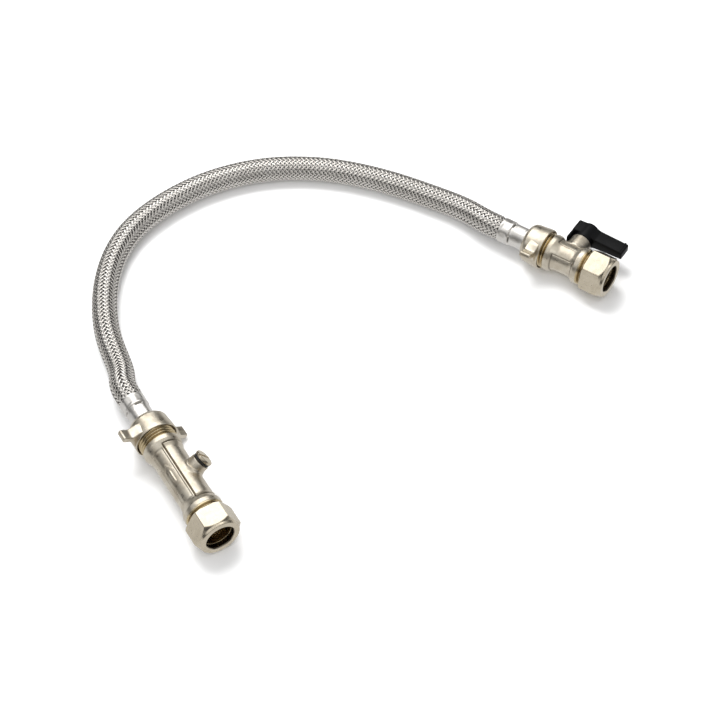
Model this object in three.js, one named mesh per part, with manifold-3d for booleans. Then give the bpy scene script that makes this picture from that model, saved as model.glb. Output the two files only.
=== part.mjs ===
// A filling loop for a sealed heating system, as it lies on a bench: a braided hose with a
// double check valve on one end and a lever isolating valve on the other.
// Each valve takes a 15 mm pipe in a compression end and the hose in a winged union nut.
// Millimetres, +Z up.
//
// Each valve is drawn in a frame of its own: its bore along Y, the outer face of its
// compression nut at y = 0, the hose towards +Y, and X to the right seen from the pipe.

import * as THREE from 'three';
import { mergeVertices } from 'three/addons/utils/BufferGeometryUtils.js';
import Module from 'manifold-3d';

const wasm = await Module();
wasm.setup();

// Clearances
const seatGap = 0.3; // between pieces that seat on each other
const turningGap = 0.3; // radial, round a piece that turns or slides in another
const pipeClearance = 0.1; // radial, round the pipe in its socket
const through = 1; // how far a cut runs past the face that it opens
const edge = 0.3; // the small rounds and chamfers on turned and moulded edges

// Pipe and threads
const pipeRadius = 7.5;
const threadRadius = 10.48; // G1/2
const threadChamfer = 0.7;
const threadShown = 3.5; // bare thread between a valve's collar and its compression nut

// Compression ends
const nutAcrossFlats = 23;
const nutLength = 13.7;
const nutFaceRadius = 11.3;
const nutFaceLength = 1.8;
const nutMouthChamfer = 0.6;
const nutFaceRound = 0.4;
const nutCornerChamfer = 1.2;
const nutThreadRunout = 0.4;
const nutHoleClearance = 0.3; // radial, round the pipe
const oliveSetback = 3.2; // from the nut's face
const oliveLength = 6.4;
const oliveRadius = 8.9;
const oliveTipRadius = 7.95;
const oliveNose = 1.4;
const bodySetback = 7.6; // from the nut's face to the thread's end
const socketDepth = 18.6; // from the nut's face to the pipe stop

// Winged union nuts
const unionLength = 12.5;
const unionRadius = 12;
const unionBackRadius = 11.3;
const unionShoulder = 1.6;
const unionShoulderRound = 1;
const unionEdge = 0.4;
const unionMouth = 1.4; // how much wider the nut's mouth is than its thread
const unionBackWall = 2.6;
const wingReach = 20.5; // from the nut's axis
const wingLength = 6.6;
const wingSetback = 1.3; // from the nut's front rim
const wingThickness = 2.4;
const wingRoot = 6.5;
const wingSink = 1; // how far a wing starts inside the nut
const wingWaist = 0.3; // share of the wing's length that its root takes
const wingShoulder = 0.62; // share of its length where it has thinned to a blade
const wingEdge = 0.4;
const washerThickness = 1.8;
const washerBore = 6;
const tailFlange = 2.2;

// Hose tails and ferrules
const waterwayRadius = 3.2;
const spigotRadius = 4.2;
const barbDepth = 0.3;
const barbCount = 2;
const barbPitch = 4.5;
const tailNeckStep = 0.4;
const tailSetback = 1; // from the ferrule's mouth
const tailNose = 0.6;
const ferruleNeckRadius = 6.7;
const ferruleCollarRadius = 7.2;
const ferruleWall = 0.8;
const ferruleEndWall = 1.2;
const ferruleNeckLength = 10.2; // shown beyond the union nut
const ferruleCollarLength = 6.6;
const ferruleRound = 0.4;

// Braided hose
const hoseRadius = 7.2;
const hoseSides = 12;
const hoseSteps = 14;
const stubOverlap = 1.5;
const mouthSteps = [0, 5, 12]; // points on the ferrule's axis that lead the hose out

// Check valve body
const checkExposed = 57; // from the compression nut to the union nut
const checkThreadShown = 5.2; // bare thread before the union nut
const testPointOffset = 0.6; // from the middle between the collars, towards the hose
const bodyRadius = 9;
const collarRadius = 10.75;
const collarLength = 2.6;
const collarFlare = 4.6;
const collarRound = 1;
const flareRound = 4;
const padRise = 0.4;
const padHalfAngle = 60; // degrees either side of the test point
const panelNear = 70; // degrees from the test point to a panel's near edge
const panelFar = 118;
const panelMargin = 1.4;
const panelLength = 37.2;
const panelDepth = 0.35;
const cartridgeBore = 7.1;
const cartridgeLength = 15.5;
const throatRadius = 5.2;
const throatLength = 11.2;
const grooveRadius = 7.8;
const retainingRingWidth = 0.8;
const retainingRingInner = 6.3;
const retainingRingGap = 3;

// Test point
const testAngle = 34; // degrees above the horizontal, on the right
const testBossRadius = 5.2;
const testBossHeight = 13.8; // from the valve's axis
const testPortRadius = 1.8;
const bossFootSpread = 1.5; // cast fillets at the feet of both valves' bosses
const bossFootSink = 0.7;
const bossFootRise = 1;
const bossFootRound = 1;
const plugShankRadius = 3.3;
const plugShankLength = 3.2;
const plugHeadHeight = 1.9;
const plugDome = 0.5;
const plugHeadInset = 0.1;
const plugHeadRound = 0.6;
const plugSlotWidth = 1.1;
const plugSlotDepth = 0.9;
const plugRingSection = 0.55; // radius of the O-ring's section
const plugRingRadius = 4.3;

// Check cartridges
const cageSeatLength = 3.4;
const cageSeatBore = 4;
const cageSleeveBore = 5.9;
const cageSpiderLength = 2;
const cageHubRadius = 2.3;
const cageArmWidth = 1.6;
const cageArmCount = 3;
const cageGrooveSetback = 0.8;
const cageGrooveWidth = 2;
const cageRingSection = 0.65;
const poppetRadius = 5.1;
const poppetNoseRadius = 3.4;
const poppetNoseLength = 2.5;
const poppetRound = 0.6;
const sealLip = 0.4;
const poppetDiscThickness = 1.3;
const poppetSealThickness = 1;
const poppetStemRadius = 1.1;
const poppetStemPast = 1.2; // past the hub when shut
const springWire = 0.38; // radius
const springRadius = 3.2;
const springTurns = 4;

// Isolating valve body
const isolatorHeading = 24.45; // degrees, seen from above
const isolatorNutRoll = 16; // degrees
const isolatorExposed = 27.6;
const isolatorThreadShown = 2.7; // bare thread before the union nut
const isolatorCollarFlare = 3.4;
const isolatorPanelLength = 13.4;
const isolatorPanelNear = 48; // degrees from the stem to a panel's near edge
const isolatorPanelFar = 87;
const stemOffset = 27.6; // from the nut's face
const ballRadius = 6.4;
const ballBore = 4;
const chamberRadius = 7;
const seatReach = 7.1; // from the ball's centre to a seat's back
const seatRingLength = 4.1;
const seatRingBore = 4.3;
const retainerLength = 6;
const retainerSlotWidth = 1.6;
const retainerSlotDepth = 1.2;
const stemBossRadius = 6.3;
const stemBossHeight = 15.8; // from the valve's axis
const stemRadius = 3;
const stemFlangeRadius = 3.9;
const stemFlangeStart = 7.2;
const stemFlangeThickness = 1.4;
const stemTongueThickness = 1.6;
const stemTongueWidth = 5.2;
const ballSlotFloor = 5;
const stemRingSection = 0.45;
const stemRingRadius = 2.62;
const stemRingSetbacks = [5.4, 2.8]; // from the boss's end
const stemGrooveGap = 0.25;
const stemShoulder = 0.4; // from the boss's end to where the stem narrows
const stemSquare = 3.8;
const stemSquareLength = 6.6; // past the boss
const stemSquareSink = 1;
const stemTapping = 4.4;

// Lever
const leverHubRadius = 5.8;
const leverOuter = 27.3; // from the valve's axis
const leverGripInner = 18.3;
const leverTail = 7; // from the stem's axis
const leverReach = 24.6;
const leverTailHalf = 3.3;
const leverTipHalf = 2.5;
const leverTailRound = 0.8;
const leverTipRound = 1.2;
const leverHubRound = 0.5;
const leverEdge = 0.6;
const leverFaceSetback = 0.3; // of the grip, from the hub's outer face
const leverLugThickness = 1.2;
const leverLugWidth = 6;
const leverLugInner = 11.8; // from the valve's axis
const screwHeadRadius = 2.4;
const screwHeadHeight = 1.4;
const screwShankRadius = 1;
const screwPocketDepth = 3;
const screwFloor = 1.5;
const screwLength = 6;
const screwSlotWidth = 0.6;
const screwSlotDepth = 0.7;

// Where the two pipe ends lie, seen from above
const checkPlace = [-123.9, -69.9];
const isolatorPlace = [145.6, -31.9];

// The hose's route between its straight ends, chosen by hand
const hoseRoute = [
  [-118.9, 53.5, 7.6],
  [-113.8, 81.6, 7.3],
  [-104.1, 106.3, 7.3],
  [-88.8, 128.8, 7.3],
  [-69.3, 145.1, 7.3],
  [-46.6, 153.8, 7.3],
  [-13.8, 157.3, 7.3],
  [21.1, 150.4, 7.3],
  [51.8, 133.1, 7.3],
  [77, 107.9, 7.3],
  [98.6, 76.4, 7.4],
  [108.1, 58.2, 8.4],
];

// Derived sizes
const nutHoleRadius = pipeRadius + nutHoleClearance;
const socketRadius = pipeRadius + pipeClearance;
const nutThreadRadius = threadRadius + turningGap;
const noseSlope = (oliveRadius - oliveTipRadius) / oliveNose;
const noseOffset = seatGap * Math.hypot(1, noseSlope);
const threadStart = nutLength + threadShown;
const flangeRadius = threadRadius - threadChamfer;
const washerRadius = flangeRadius;
const unionInside = unionLength - unionBackWall;
const flangeEnd = unionInside - seatGap;
const flangeStart = flangeEnd - tailFlange;
const washerEnd = flangeStart - seatGap;
const washerStart = washerEnd - washerThickness;
const threadInUnion = washerStart - seatGap;
const ferruleStart = flangeEnd + seatGap;
const ferruleStep = unionLength + ferruleNeckLength;
const ferruleEnd = ferruleStep + ferruleCollarLength;
const stemEnd = stemBossHeight + stemSquareLength;
const stemRingOffsets = stemRingSetbacks.map((setback) => stemBossHeight - setback);
const nutWidth = nutAcrossFlats / Math.sqrt(3) * 2;
const hoseBore = spigotRadius + seatGap;
const stubRadius = ferruleNeckRadius - ferruleWall - seatGap;
const degrees = THREE.MathUtils.degToRad;

// Sides of the round forms
const wideSides = 24;
const boreSides = 18;
const innerSides = 16;
const smallSides = 12;
const tinySides = 8;
const hexSides = 6;

// Materials
const finish = (colour, roughness, metalness) =>
  new THREE.MeshStandardMaterial({ color: colour, roughness, metalness });
const nickel = () => finish(0xcbc2b0, 0.32, 1);
const brass = () => finish(0xb08d4f, 0.35, 1);
const steel = () => finish(0xc9c9c6, 0.28, 1);
const rubber = () => finish(0x161616, 0.7, 0);
const fibre = () => finish(0x4a4f55, 0.85, 0);
const ptfe = () => finish(0xf0efea, 0.45, 0);
const acetal = () => finish(0xe6e3da, 0.5, 0);
const blackPlastic = () => finish(0x141415, 0.42, 0);

// Merges a geometry's shared corners and drops the triangles that vanish.
function weld(geometry) {
  const bare = geometry.index ? geometry.toNonIndexed() : geometry.clone();
  bare.deleteAttribute('normal');
  bare.deleteAttribute('uv');
  const merged = mergeVertices(bare, 1e-4);
  const kept = [];
  const index = merged.index.array;
  for (let i = 0; i < index.length; i += 3) {
    const [a, b, c] = index.slice(i, i + 3);
    if (a !== b && b !== c && c !== a) kept.push(a, b, c);
  }
  merged.setIndex(kept);
  return merged;
}

function solid(geometry) {
  const merged = weld(geometry);
  return new wasm.Manifold(new wasm.Mesh({
    numProp: 3,
    vertProperties: merged.attributes.position.array,
    triVerts: new Uint32Array(merged.index.array),
  }));
}

function geometryOf(made) {
  const { vertProperties, triVerts } = made.getMesh();
  const geometry = new THREE.BufferGeometry();
  geometry.setAttribute('position', new THREE.BufferAttribute(vertProperties, 3));
  geometry.setIndex(new THREE.BufferAttribute(triVerts, 1));
  return geometry;
}

const join = (first, ...rest) => rest.reduce((sum, next) => sum.add(next), first);
const cut = (first, ...rest) => rest.reduce((left, next) => left.subtract(next), first);

// A closed outline from [a, b] or [a, b, radius] corners, each radius an arc.
function outline(corners, arcSteps = 4) {
  const points = [];
  const at = (i) => new THREE.Vector2(...corners[(i + corners.length) % corners.length]);
  corners.forEach(([, , radius], i) => {
    const here = at(i);
    if (!radius) {
      points.push(here);
      return;
    }
    const back = at(i - 1).sub(here).normalize();
    const on = at(i + 1).sub(here).normalize();
    const half = Math.acos(THREE.MathUtils.clamp(back.dot(on), -1, 1)) / 2;
    const reach = radius / Math.tan(half);
    const start = here.clone().addScaledVector(back, reach);
    const end = here.clone().addScaledVector(on, reach);
    const middle = back.clone().add(on).normalize().multiplyScalar(radius / Math.sin(half));
    const centre = here.clone().add(middle);
    const from = start.clone().sub(centre).angle();
    const sweep = Math.PI - 2 * half;
    const turn = Math.sign(start.clone().sub(centre).cross(end.clone().sub(centre)));
    for (let k = 0; k <= arcSteps; k += 1) {
      const angle = from + turn * sweep * k / arcSteps;
      points.push(new THREE.Vector2(Math.cos(angle), Math.sin(angle))
        .multiplyScalar(radius).add(centre));
    }
  });
  return points;
}

// A solid of revolution about Y from [radius, y] corners, in either order.
function revolve(corners, sides = boreSides, arcSteps = 2) {
  const points = outline(corners, arcSteps);
  if (THREE.ShapeUtils.area(points) < 0) points.reverse();
  const onAxis = points.filter((p) => p.x === 0).length;
  if (onAxis === 0) {
    points.push(points[0].clone());
  } else {
    while (points[0].x !== 0 || points.at(-1).x !== 0) points.push(points.shift());
  }
  return solid(new THREE.LatheGeometry(points, sides));
}

// A prism from an outline in the plane across Y, from y = start to y = end.
function prismAlongY(points, start, end, bevel = 0) {
  const shape = new THREE.Shape(points);
  const options = {
    depth: end - start - 2 * bevel,
    bevelEnabled: bevel > 0,
    bevelThickness: bevel,
    bevelSize: bevel,
    bevelOffset: -bevel,
    bevelSegments: 1,
  };
  const geometry = new THREE.ExtrudeGeometry(shape, options);
  geometry.rotateX(Math.PI / 2);
  geometry.translate(0, end - bevel, 0);
  return solid(geometry);
}

function block(width, depth, height, x, y, z) {
  return solid(new THREE.BoxGeometry(width, depth, height).translate(x, y, z));
}

// A copy of a solid that runs along Y, turned to run along X or about Y.
const alongX = (made) => made.rotate(0, 0, -90);
const aboutY = (made, angle) => made.rotate(0, -angle, 0);

function ringOf(sectionRadius, radius, y) {
  const sectionSides = 5;
  const corners = Array.from({ length: sectionSides }, (_, k) => {
    const angle = 2 * Math.PI * k / sectionSides;
    return [radius + sectionRadius * Math.cos(angle), y + sectionRadius * Math.sin(angle)];
  });
  return revolve(corners, smallSides);
}

// A slice round Y between two angles, for panels that follow a curved body.
function sector(fromAngle, toAngle, start, end, reach) {
  const steps = 4;
  const points = [new THREE.Vector2(0, 0)];
  for (let k = 0; k <= steps; k += 1) {
    const angle = degrees(fromAngle + (toAngle - fromAngle) * k / steps);
    points.push(new THREE.Vector2(reach * Math.cos(angle), reach * Math.sin(angle)));
  }
  return prismAlongY(points, start, end);
}

function mesh(name, made, material) {
  const part = new THREE.Mesh(geometryOf(made), material);
  part.name = name;
  return part;
}

// The hexagonal compression nut, coned inside to press on the olive.
function compressionNut(length) {
  const corners = Array.from({ length: hexSides }, (_, k) => {
    const angle = 2 * Math.PI * k / hexSides;
    return new THREE.Vector2(Math.cos(angle), Math.sin(angle)).multiplyScalar(nutWidth / 2);
  });
  const reach = nutWidth / 2 + edge;
  const envelope = revolve([
    [0, 0], [nutFaceRadius, 0, nutFaceRound], [nutFaceRadius, nutFaceLength],
    [reach, nutFaceLength + nutCornerChamfer], [reach, length - nutCornerChamfer / 2],
    [nutWidth / 2 - nutCornerChamfer, length], [0, length],
  ], wideSides, 1);
  const coneStart = oliveSetback - (oliveTipRadius + noseOffset - nutHoleRadius) / noseSlope;
  const coneEnd = coneStart + (oliveRadius + seatGap - nutHoleRadius) / noseSlope;
  const bore = revolve([
    [0, -through], [nutHoleRadius + nutMouthChamfer + through, -through],
    [nutHoleRadius, nutMouthChamfer], [nutHoleRadius, coneStart],
    [oliveRadius + seatGap, coneEnd], [nutThreadRadius, coneEnd + nutThreadRunout],
    [nutThreadRadius, length + through], [0, length + through],
  ]);
  return cut(prismAlongY(corners, 0, length).intersect(envelope), bore);
}

function olive() {
  const end = oliveSetback + oliveLength;
  return revolve([
    [socketRadius, oliveSetback], [oliveTipRadius, oliveSetback],
    [oliveRadius, oliveSetback + oliveNose], [oliveRadius, end - oliveNose],
    [oliveTipRadius, end], [socketRadius, end],
  ]);
}

// The bore of a compression end: the olive's cone, then the pipe's socket.
function socketCorners() {
  const coneTop = oliveSetback + oliveLength - oliveNose;
  const coneRadius = (y) => oliveRadius + noseOffset - noseSlope * (y - coneTop);
  const coneFoot = coneTop + (oliveRadius + noseOffset - socketRadius) / noseSlope;
  const mouth = bodySetback - through;
  return [
    [0, mouth], [coneRadius(mouth), mouth], [socketRadius, coneFoot],
    [socketRadius, socketDepth],
  ];
}

// A valve body's outside: threads at both ends, collars, and a waist that flares into them.
function bodyOutside(threadFrom, end, flare) {
  const collarTo = threadStart + collarLength;
  const collarFrom = threadFrom - collarLength;
  return revolve([
    [0, bodySetback], [threadRadius - threadChamfer, bodySetback],
    [threadRadius, bodySetback + threadChamfer], [threadRadius, threadStart],
    [collarRadius, threadStart + edge], [collarRadius, collarTo, collarRound],
    [bodyRadius, collarTo + flare, flareRound], [bodyRadius, collarFrom - flare, flareRound],
    [collarRadius, collarFrom, collarRound], [collarRadius, threadFrom - edge],
    [threadRadius, threadFrom], [threadRadius, end - threadChamfer],
    [threadRadius - threadChamfer, end], [0, end],
  ], wideSides);
}

// The shell between two radii round Y, for raised pads and sunk panels.
function band(inner, outer, fromAngle, toAngle, start, end) {
  const full = revolve([[inner, start], [outer, start], [outer, end], [inner, end]], wideSides);
  return full.intersect(sector(fromAngle, toAngle, start - through, end + through, outer * 2));
}

// A round boss out from the valve's axis along +X, with a cast fillet at its foot.
function bossOutside(radius, height) {
  const foot = radius + bossFootSpread;
  return alongX(revolve([
    [0, 0], [foot, 0], [foot, bodyRadius - bossFootSink],
    [radius, bodyRadius + bossFootRise, bossFootRound], [radius, height - edge],
    [radius - edge, height], [0, height],
  ], innerSides));
}

const checkUnionFace = nutLength + checkExposed;
const checkEnd = checkUnionFace + threadInUnion;
const checkThreadFrom = checkUnionFace - checkThreadShown;
const checkMiddle = (threadStart + checkThreadFrom) / 2 + testPointOffset;
const throatStart = checkMiddle - throatLength / 2;
const throatEnd = checkMiddle + throatLength / 2;
const firstCageStart = throatStart - seatGap - cartridgeLength;
const secondCageStart = throatEnd + seatGap;
const grooveWidth = retainingRingWidth + 2 * seatGap;
const firstGroove = firstCageStart - grooveWidth;
const secondGroove = secondCageStart + cartridgeLength;

function checkValveBody() {
  const top = testBossHeight;
  const panelStart = checkMiddle - panelLength / 2;
  const panelEnd = checkMiddle + panelLength / 2;
  const outside = join(
    bodyOutside(checkThreadFrom, checkEnd, collarFlare),
    band(cartridgeBore + through, bodyRadius + padRise, testAngle - padHalfAngle,
      testAngle + padHalfAngle, panelStart, panelEnd),
    aboutY(bossOutside(testBossRadius, top), testAngle).translate(0, checkMiddle, 0),
  );
  const bore = revolve([
    ...socketCorners(), [cartridgeBore, socketDepth],
    [cartridgeBore, firstGroove], [grooveRadius, firstGroove],
    [grooveRadius, firstGroove + grooveWidth], [cartridgeBore, firstGroove + grooveWidth],
    [cartridgeBore, throatStart], [throatRadius, throatStart], [throatRadius, throatEnd],
    [cartridgeBore, throatEnd], [cartridgeBore, secondGroove],
    [grooveRadius, secondGroove], [grooveRadius, secondGroove + grooveWidth],
    [cartridgeBore, secondGroove + grooveWidth], [cartridgeBore, checkEnd + through],
    [0, checkEnd + through],
  ]);
  const port = revolve([
    [0, 0], [testPortRadius, 0], [testPortRadius, top - plugShankLength - 2 * seatGap],
    [plugShankRadius + turningGap, top - plugShankLength - seatGap],
    [plugShankRadius + turningGap, top + through], [0, top + through],
  ], smallSides);
  const panels = [
    [testAngle + panelNear, testAngle + panelFar], [testAngle - panelFar, testAngle - panelNear],
  ].map(([from, to]) => band(bodyRadius - panelDepth, bodyRadius + through, from, to,
    panelStart + panelMargin, panelEnd - panelMargin));
  return cut(outside, bore, ...panels,
    aboutY(alongX(port), testAngle).translate(0, checkMiddle, 0));
}

// The plug and its O-ring, along +X from the valve's axis before they are turned.
function testPlug() {
  const seat = testBossHeight + 2 * plugRingSection + 2 * seatGap;
  const head = seat + plugHeadHeight;
  const headRadius = testBossRadius - plugHeadInset;
  const plug = revolve([
    [0, testBossHeight - plugShankLength], [plugShankRadius, testBossHeight - plugShankLength],
    [plugShankRadius, seat], [headRadius, seat, edge],
    [headRadius, head - plugDome, plugHeadRound], [0, head],
  ], innerSides);
  const slot = block(plugSlotWidth, plugSlotDepth * 2, headRadius * 3, 0, head, 0);
  return alongX(cut(plug, slot));
}

function testPlugRing() {
  const y = testBossHeight + seatGap + plugRingSection;
  return alongX(ringOf(plugRingSection, plugRingRadius, y));
}

function retainingRing(start) {
  const shell = revolve([
    [retainingRingInner, start], [grooveRadius - seatGap, start],
    [grooveRadius - seatGap, start + retainingRingWidth],
    [retainingRingInner, start + retainingRingWidth],
  ]);
  const opening = block(retainingRingGap, grooveWidth * 3, grooveRadius * 2, 0, start,
    grooveRadius);
  return cut(shell, opening);
}

// The cartridge's cage: a seat at y = 0, a sleeve, and a spider that guides the stem.
function cage() {
  const outer = cartridgeBore - seatGap;
  const grooveFloor = cartridgeBore - 2 * seatGap - 2 * cageRingSection;
  const spiderStart = cartridgeLength - cageSpiderLength;
  const shell = revolve([
    [cageSeatBore, 0], [outer, 0, edge], [outer, cageGrooveSetback],
    [grooveFloor, cageGrooveSetback], [grooveFloor, cageGrooveSetback + cageGrooveWidth],
    [outer, cageGrooveSetback + cageGrooveWidth], [outer, cartridgeLength],
    [cageSleeveBore, cartridgeLength], [cageSleeveBore, cageSeatLength],
    [cageSeatBore, cageSeatLength],
  ], smallSides, 1);
  const hub = revolve([
    [0, spiderStart], [cageHubRadius, spiderStart], [cageHubRadius, cartridgeLength],
    [0, cartridgeLength],
  ], tinySides);
  const arms = Array.from({ length: cageArmCount }, (_, k) => {
    const reach = (cageSleeveBore + outer) / 2;
    const middle = (spiderStart + cartridgeLength) / 2;
    const arm = block(reach, cageSpiderLength, cageArmWidth, reach / 2, middle, 0);
    return aboutY(arm, 360 * k / cageArmCount);
  });
  const guideRadius = poppetStemRadius + turningGap;
  const guide = revolve([
    [0, spiderStart - through], [guideRadius, spiderStart - through],
    [guideRadius, cartridgeLength + through], [0, cartridgeLength + through],
  ], tinySides);
  return cut(join(shell, hub, ...arms), guide);
}

function cageRing() {
  const radius = cartridgeBore - seatGap - cageRingSection;
  const y = cageGrooveSetback + cageGrooveWidth / 2;
  return ringOf(cageRingSection, radius, y);
}

const sealStart = cageSeatLength + seatGap;
const discStart = sealStart + poppetSealThickness + seatGap;
const discEnd = discStart + poppetDiscThickness;

function poppet() {
  const nose = discStart - poppetSealThickness - poppetNoseLength;
  const tail = cartridgeLength + poppetStemPast;
  return revolve([
    [0, nose], [poppetNoseRadius, nose, poppetRound], [poppetNoseRadius, discStart],
    [poppetRadius, discStart], [poppetRadius, discEnd, edge],
    [poppetStemRadius + poppetRound, discEnd], [poppetStemRadius, discEnd + poppetRound],
    [poppetStemRadius, tail], [0, tail],
  ], smallSides, 1);
}

function poppetSeal() {
  const inner = poppetNoseRadius + seatGap;
  const end = sealStart + poppetSealThickness;
  return revolve([
    [inner, sealStart], [poppetRadius - sealLip, sealStart], [poppetRadius, sealStart + sealLip],
    [poppetRadius, end], [inner, end],
  ], smallSides);
}

function poppetSpring() {
  const start = discEnd + seatGap + springWire;
  const end = cartridgeLength - cageSpiderLength - seatGap - springWire;
  class Helix extends THREE.Curve {
    getPoint(t, target = new THREE.Vector3()) {
      const angle = 2 * Math.PI * springTurns * t;
      const y = start + (end - start) * t;
      return target.set(springRadius * Math.cos(angle), y, springRadius * Math.sin(angle));
    }
  }
  const wireSides = 4;
  const stepsPerTurn = 8;
  const section = new THREE.Shape(Array.from({ length: wireSides }, (_, k) => {
    const angle = 2 * Math.PI * k / wireSides;
    return new THREE.Vector2(Math.cos(angle), Math.sin(angle)).multiplyScalar(springWire);
  }));
  const steps = springTurns * stepsPerTurn;
  const options = { steps, bevelEnabled: false, extrudePath: new Helix() };
  return solid(new THREE.ExtrudeGeometry(section, options));
}

// The winged union nut, its front rim at y = 0.
function unionNut() {
  const shell = revolve([
    [0, 0], [unionRadius - unionEdge, 0], [unionRadius, unionEdge],
    [unionRadius, wingSetback + wingEdge],
    [unionBackRadius, unionLength - unionShoulder, unionShoulderRound],
    [unionBackRadius - unionShoulder, unionLength, unionShoulderRound], [0, unionLength],
  ], wideSides, 1);
  const half = wingThickness / 2;
  const rootRadius = unionBackRadius - wingSink;
  const reach = wingReach - rootRadius;
  const wingShape = new THREE.Shape();
  wingShape.moveTo(0, -wingRoot);
  wingShape.quadraticCurveTo(reach * wingWaist, -half, reach * wingShoulder, -half);
  wingShape.lineTo(reach - half, -half);
  wingShape.absarc(reach - half, 0, half, -Math.PI / 2, Math.PI / 2, false);
  wingShape.lineTo(reach * wingShoulder, half);
  wingShape.quadraticCurveTo(reach * wingWaist, half, 0, wingRoot);
  const points = wingShape.getPoints(2);
  const wing = prismAlongY(points, wingSetback, wingSetback + wingLength, wingEdge)
    .translate(rootRadius, 0, 0);
  const hole = ferruleNeckRadius + turningGap;
  const bore = revolve([
    [0, -through], [nutThreadRadius + unionMouth, -through], [nutThreadRadius, unionEdge],
    [nutThreadRadius, unionInside], [hole, unionInside], [hole, unionLength + through],
    [0, unionLength + through],
  ]);
  return cut(join(shell, wing, wing.rotate(0, 180, 0)), bore);
}

function unionWasher() {
  return revolve([
    [washerBore, washerStart], [washerRadius, washerStart], [washerRadius, washerEnd],
    [washerBore, washerEnd],
  ]);
}

function hoseTail() {
  const neck = spigotRadius + tailNeckStep;
  const spigotStart = ferruleStart + ferruleEndWall;
  const spigotEnd = ferruleEnd - tailSetback;
  const corners = [
    [waterwayRadius, flangeStart], [flangeRadius, flangeStart, edge],
    [flangeRadius, flangeEnd, edge], [neck, flangeEnd], [neck, spigotStart],
    [spigotRadius, spigotStart],
  ];
  for (let k = barbCount; k > 0; k -= 1) {
    const y = spigotEnd - k * barbPitch;
    corners.push([spigotRadius, y], [spigotRadius - barbDepth, y + barbDepth]);
  }
  corners.push([spigotRadius, spigotEnd - tailNose], [spigotRadius - tailNose, spigotEnd]);
  corners.push([waterwayRadius, spigotEnd]);
  return revolve(corners, smallSides, 1);
}

function ferrule() {
  const neckInner = ferruleNeckRadius - ferruleWall;
  const collarInner = ferruleCollarRadius - ferruleWall;
  const throat = spigotRadius + tailNeckStep + seatGap;
  return revolve([
    [throat, ferruleStart], [ferruleNeckRadius, ferruleStart, ferruleRound],
    [ferruleNeckRadius, ferruleStep], [ferruleCollarRadius, ferruleStep + edge],
    [ferruleCollarRadius, ferruleEnd, ferruleRound], [collarInner, ferruleEnd],
    [collarInner, ferruleStep + edge], [neckInner, ferruleStep],
    [neckInner, ferruleStart + ferruleEndWall], [throat, ferruleStart + ferruleEndWall],
  ], innerSides, 1);
}

// The crimped end of the hose, which the ferrule grips on the tail, and a little of the hose.
function hoseStub() {
  const start = ferruleStart + ferruleEndWall + seatGap;
  return revolve([
    [hoseBore, start], [stubRadius, start], [stubRadius, ferruleEnd + stubOverlap],
    [hoseBore, ferruleEnd + stubOverlap],
  ], hoseSides);
}

const isolatorUnionFace = nutLength + isolatorExposed;
const isolatorEnd = isolatorUnionFace + threadInUnion;

// The rolled nut lies on a corner, which lifts the pipe end of the isolating valve.
const cornerHeight = nutWidth / 2 * Math.cos(degrees(30 - isolatorNutRoll));
const nutContact = nutLength - nutCornerChamfer;
const unionContact = isolatorUnionFace + wingSetback + wingEdge;
const isolatorPitch = Math.asin((cornerHeight - unionRadius) / (unionContact - nutContact));
const isolatorHeight = (unionRadius + unionContact * Math.sin(isolatorPitch))
  / Math.cos(isolatorPitch);
const isolatorThreadFrom = isolatorUnionFace - isolatorThreadShown;
const chamberStart = stemOffset - seatReach - seatGap;
const retainerStart = stemOffset + seatReach + seatGap;

function isolatingValveBody() {
  const outside = join(
    bodyOutside(isolatorThreadFrom, isolatorEnd, isolatorCollarFlare),
    bossOutside(stemBossRadius, stemBossHeight).translate(0, stemOffset, 0),
  );
  const bore = revolve([
    ...socketCorners(), [ballBore, socketDepth], [ballBore, chamberStart],
    [chamberRadius, chamberStart], [chamberRadius, isolatorEnd + through],
    [0, isolatorEnd + through],
  ]);
  const flangeTop = stemFlangeStart + stemFlangeThickness + seatGap;
  const gland = revolve([
    [0, 0], [stemFlangeRadius + turningGap, 0], [stemFlangeRadius + turningGap, flangeTop],
    [stemRadius + turningGap, flangeTop],
    [stemRadius + turningGap, stemBossHeight + through], [0, stemBossHeight + through],
  ], innerSides);
  const panels = [
    [isolatorPanelNear, isolatorPanelFar], [-isolatorPanelFar, -isolatorPanelNear],
  ].map(([from, to]) => band(
    bodyRadius - panelDepth, bodyRadius + through, from, to,
    stemOffset - isolatorPanelLength / 2, stemOffset + isolatorPanelLength / 2,
  ));
  return cut(outside, bore, ...panels, alongX(gland).translate(0, stemOffset, 0));
}

// A ball seat on the pipe side, with the ball's centre at y = 0.
function ballSeat() {
  const outer = chamberRadius - seatGap;
  const face = ballRadius + seatGap;
  const steps = 3;
  const corners = [[seatRingBore, -seatReach], [outer, -seatReach]];
  corners.push([outer, seatRingLength - seatReach]);
  const rimAngle = Math.acos((seatReach - seatRingLength) / face);
  const boreAngle = Math.asin(seatRingBore / face);
  for (let k = 0; k <= steps; k += 1) {
    const angle = rimAngle + (boreAngle - rimAngle) * k / steps;
    corners.push([face * Math.sin(angle), -face * Math.cos(angle)]);
  }
  return revolve(corners, innerSides);
}

function seatRetainer() {
  const outer = chamberRadius - seatGap;
  const end = retainerStart + retainerLength;
  const shell = revolve([
    [ballBore, retainerStart], [outer, retainerStart], [outer, end, edge], [ballBore, end],
  ], innerSides, 1);
  const slot = block(outer * 3, retainerSlotDepth * 2, retainerSlotWidth, 0, end, 0);
  return cut(shell, slot);
}

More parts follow.
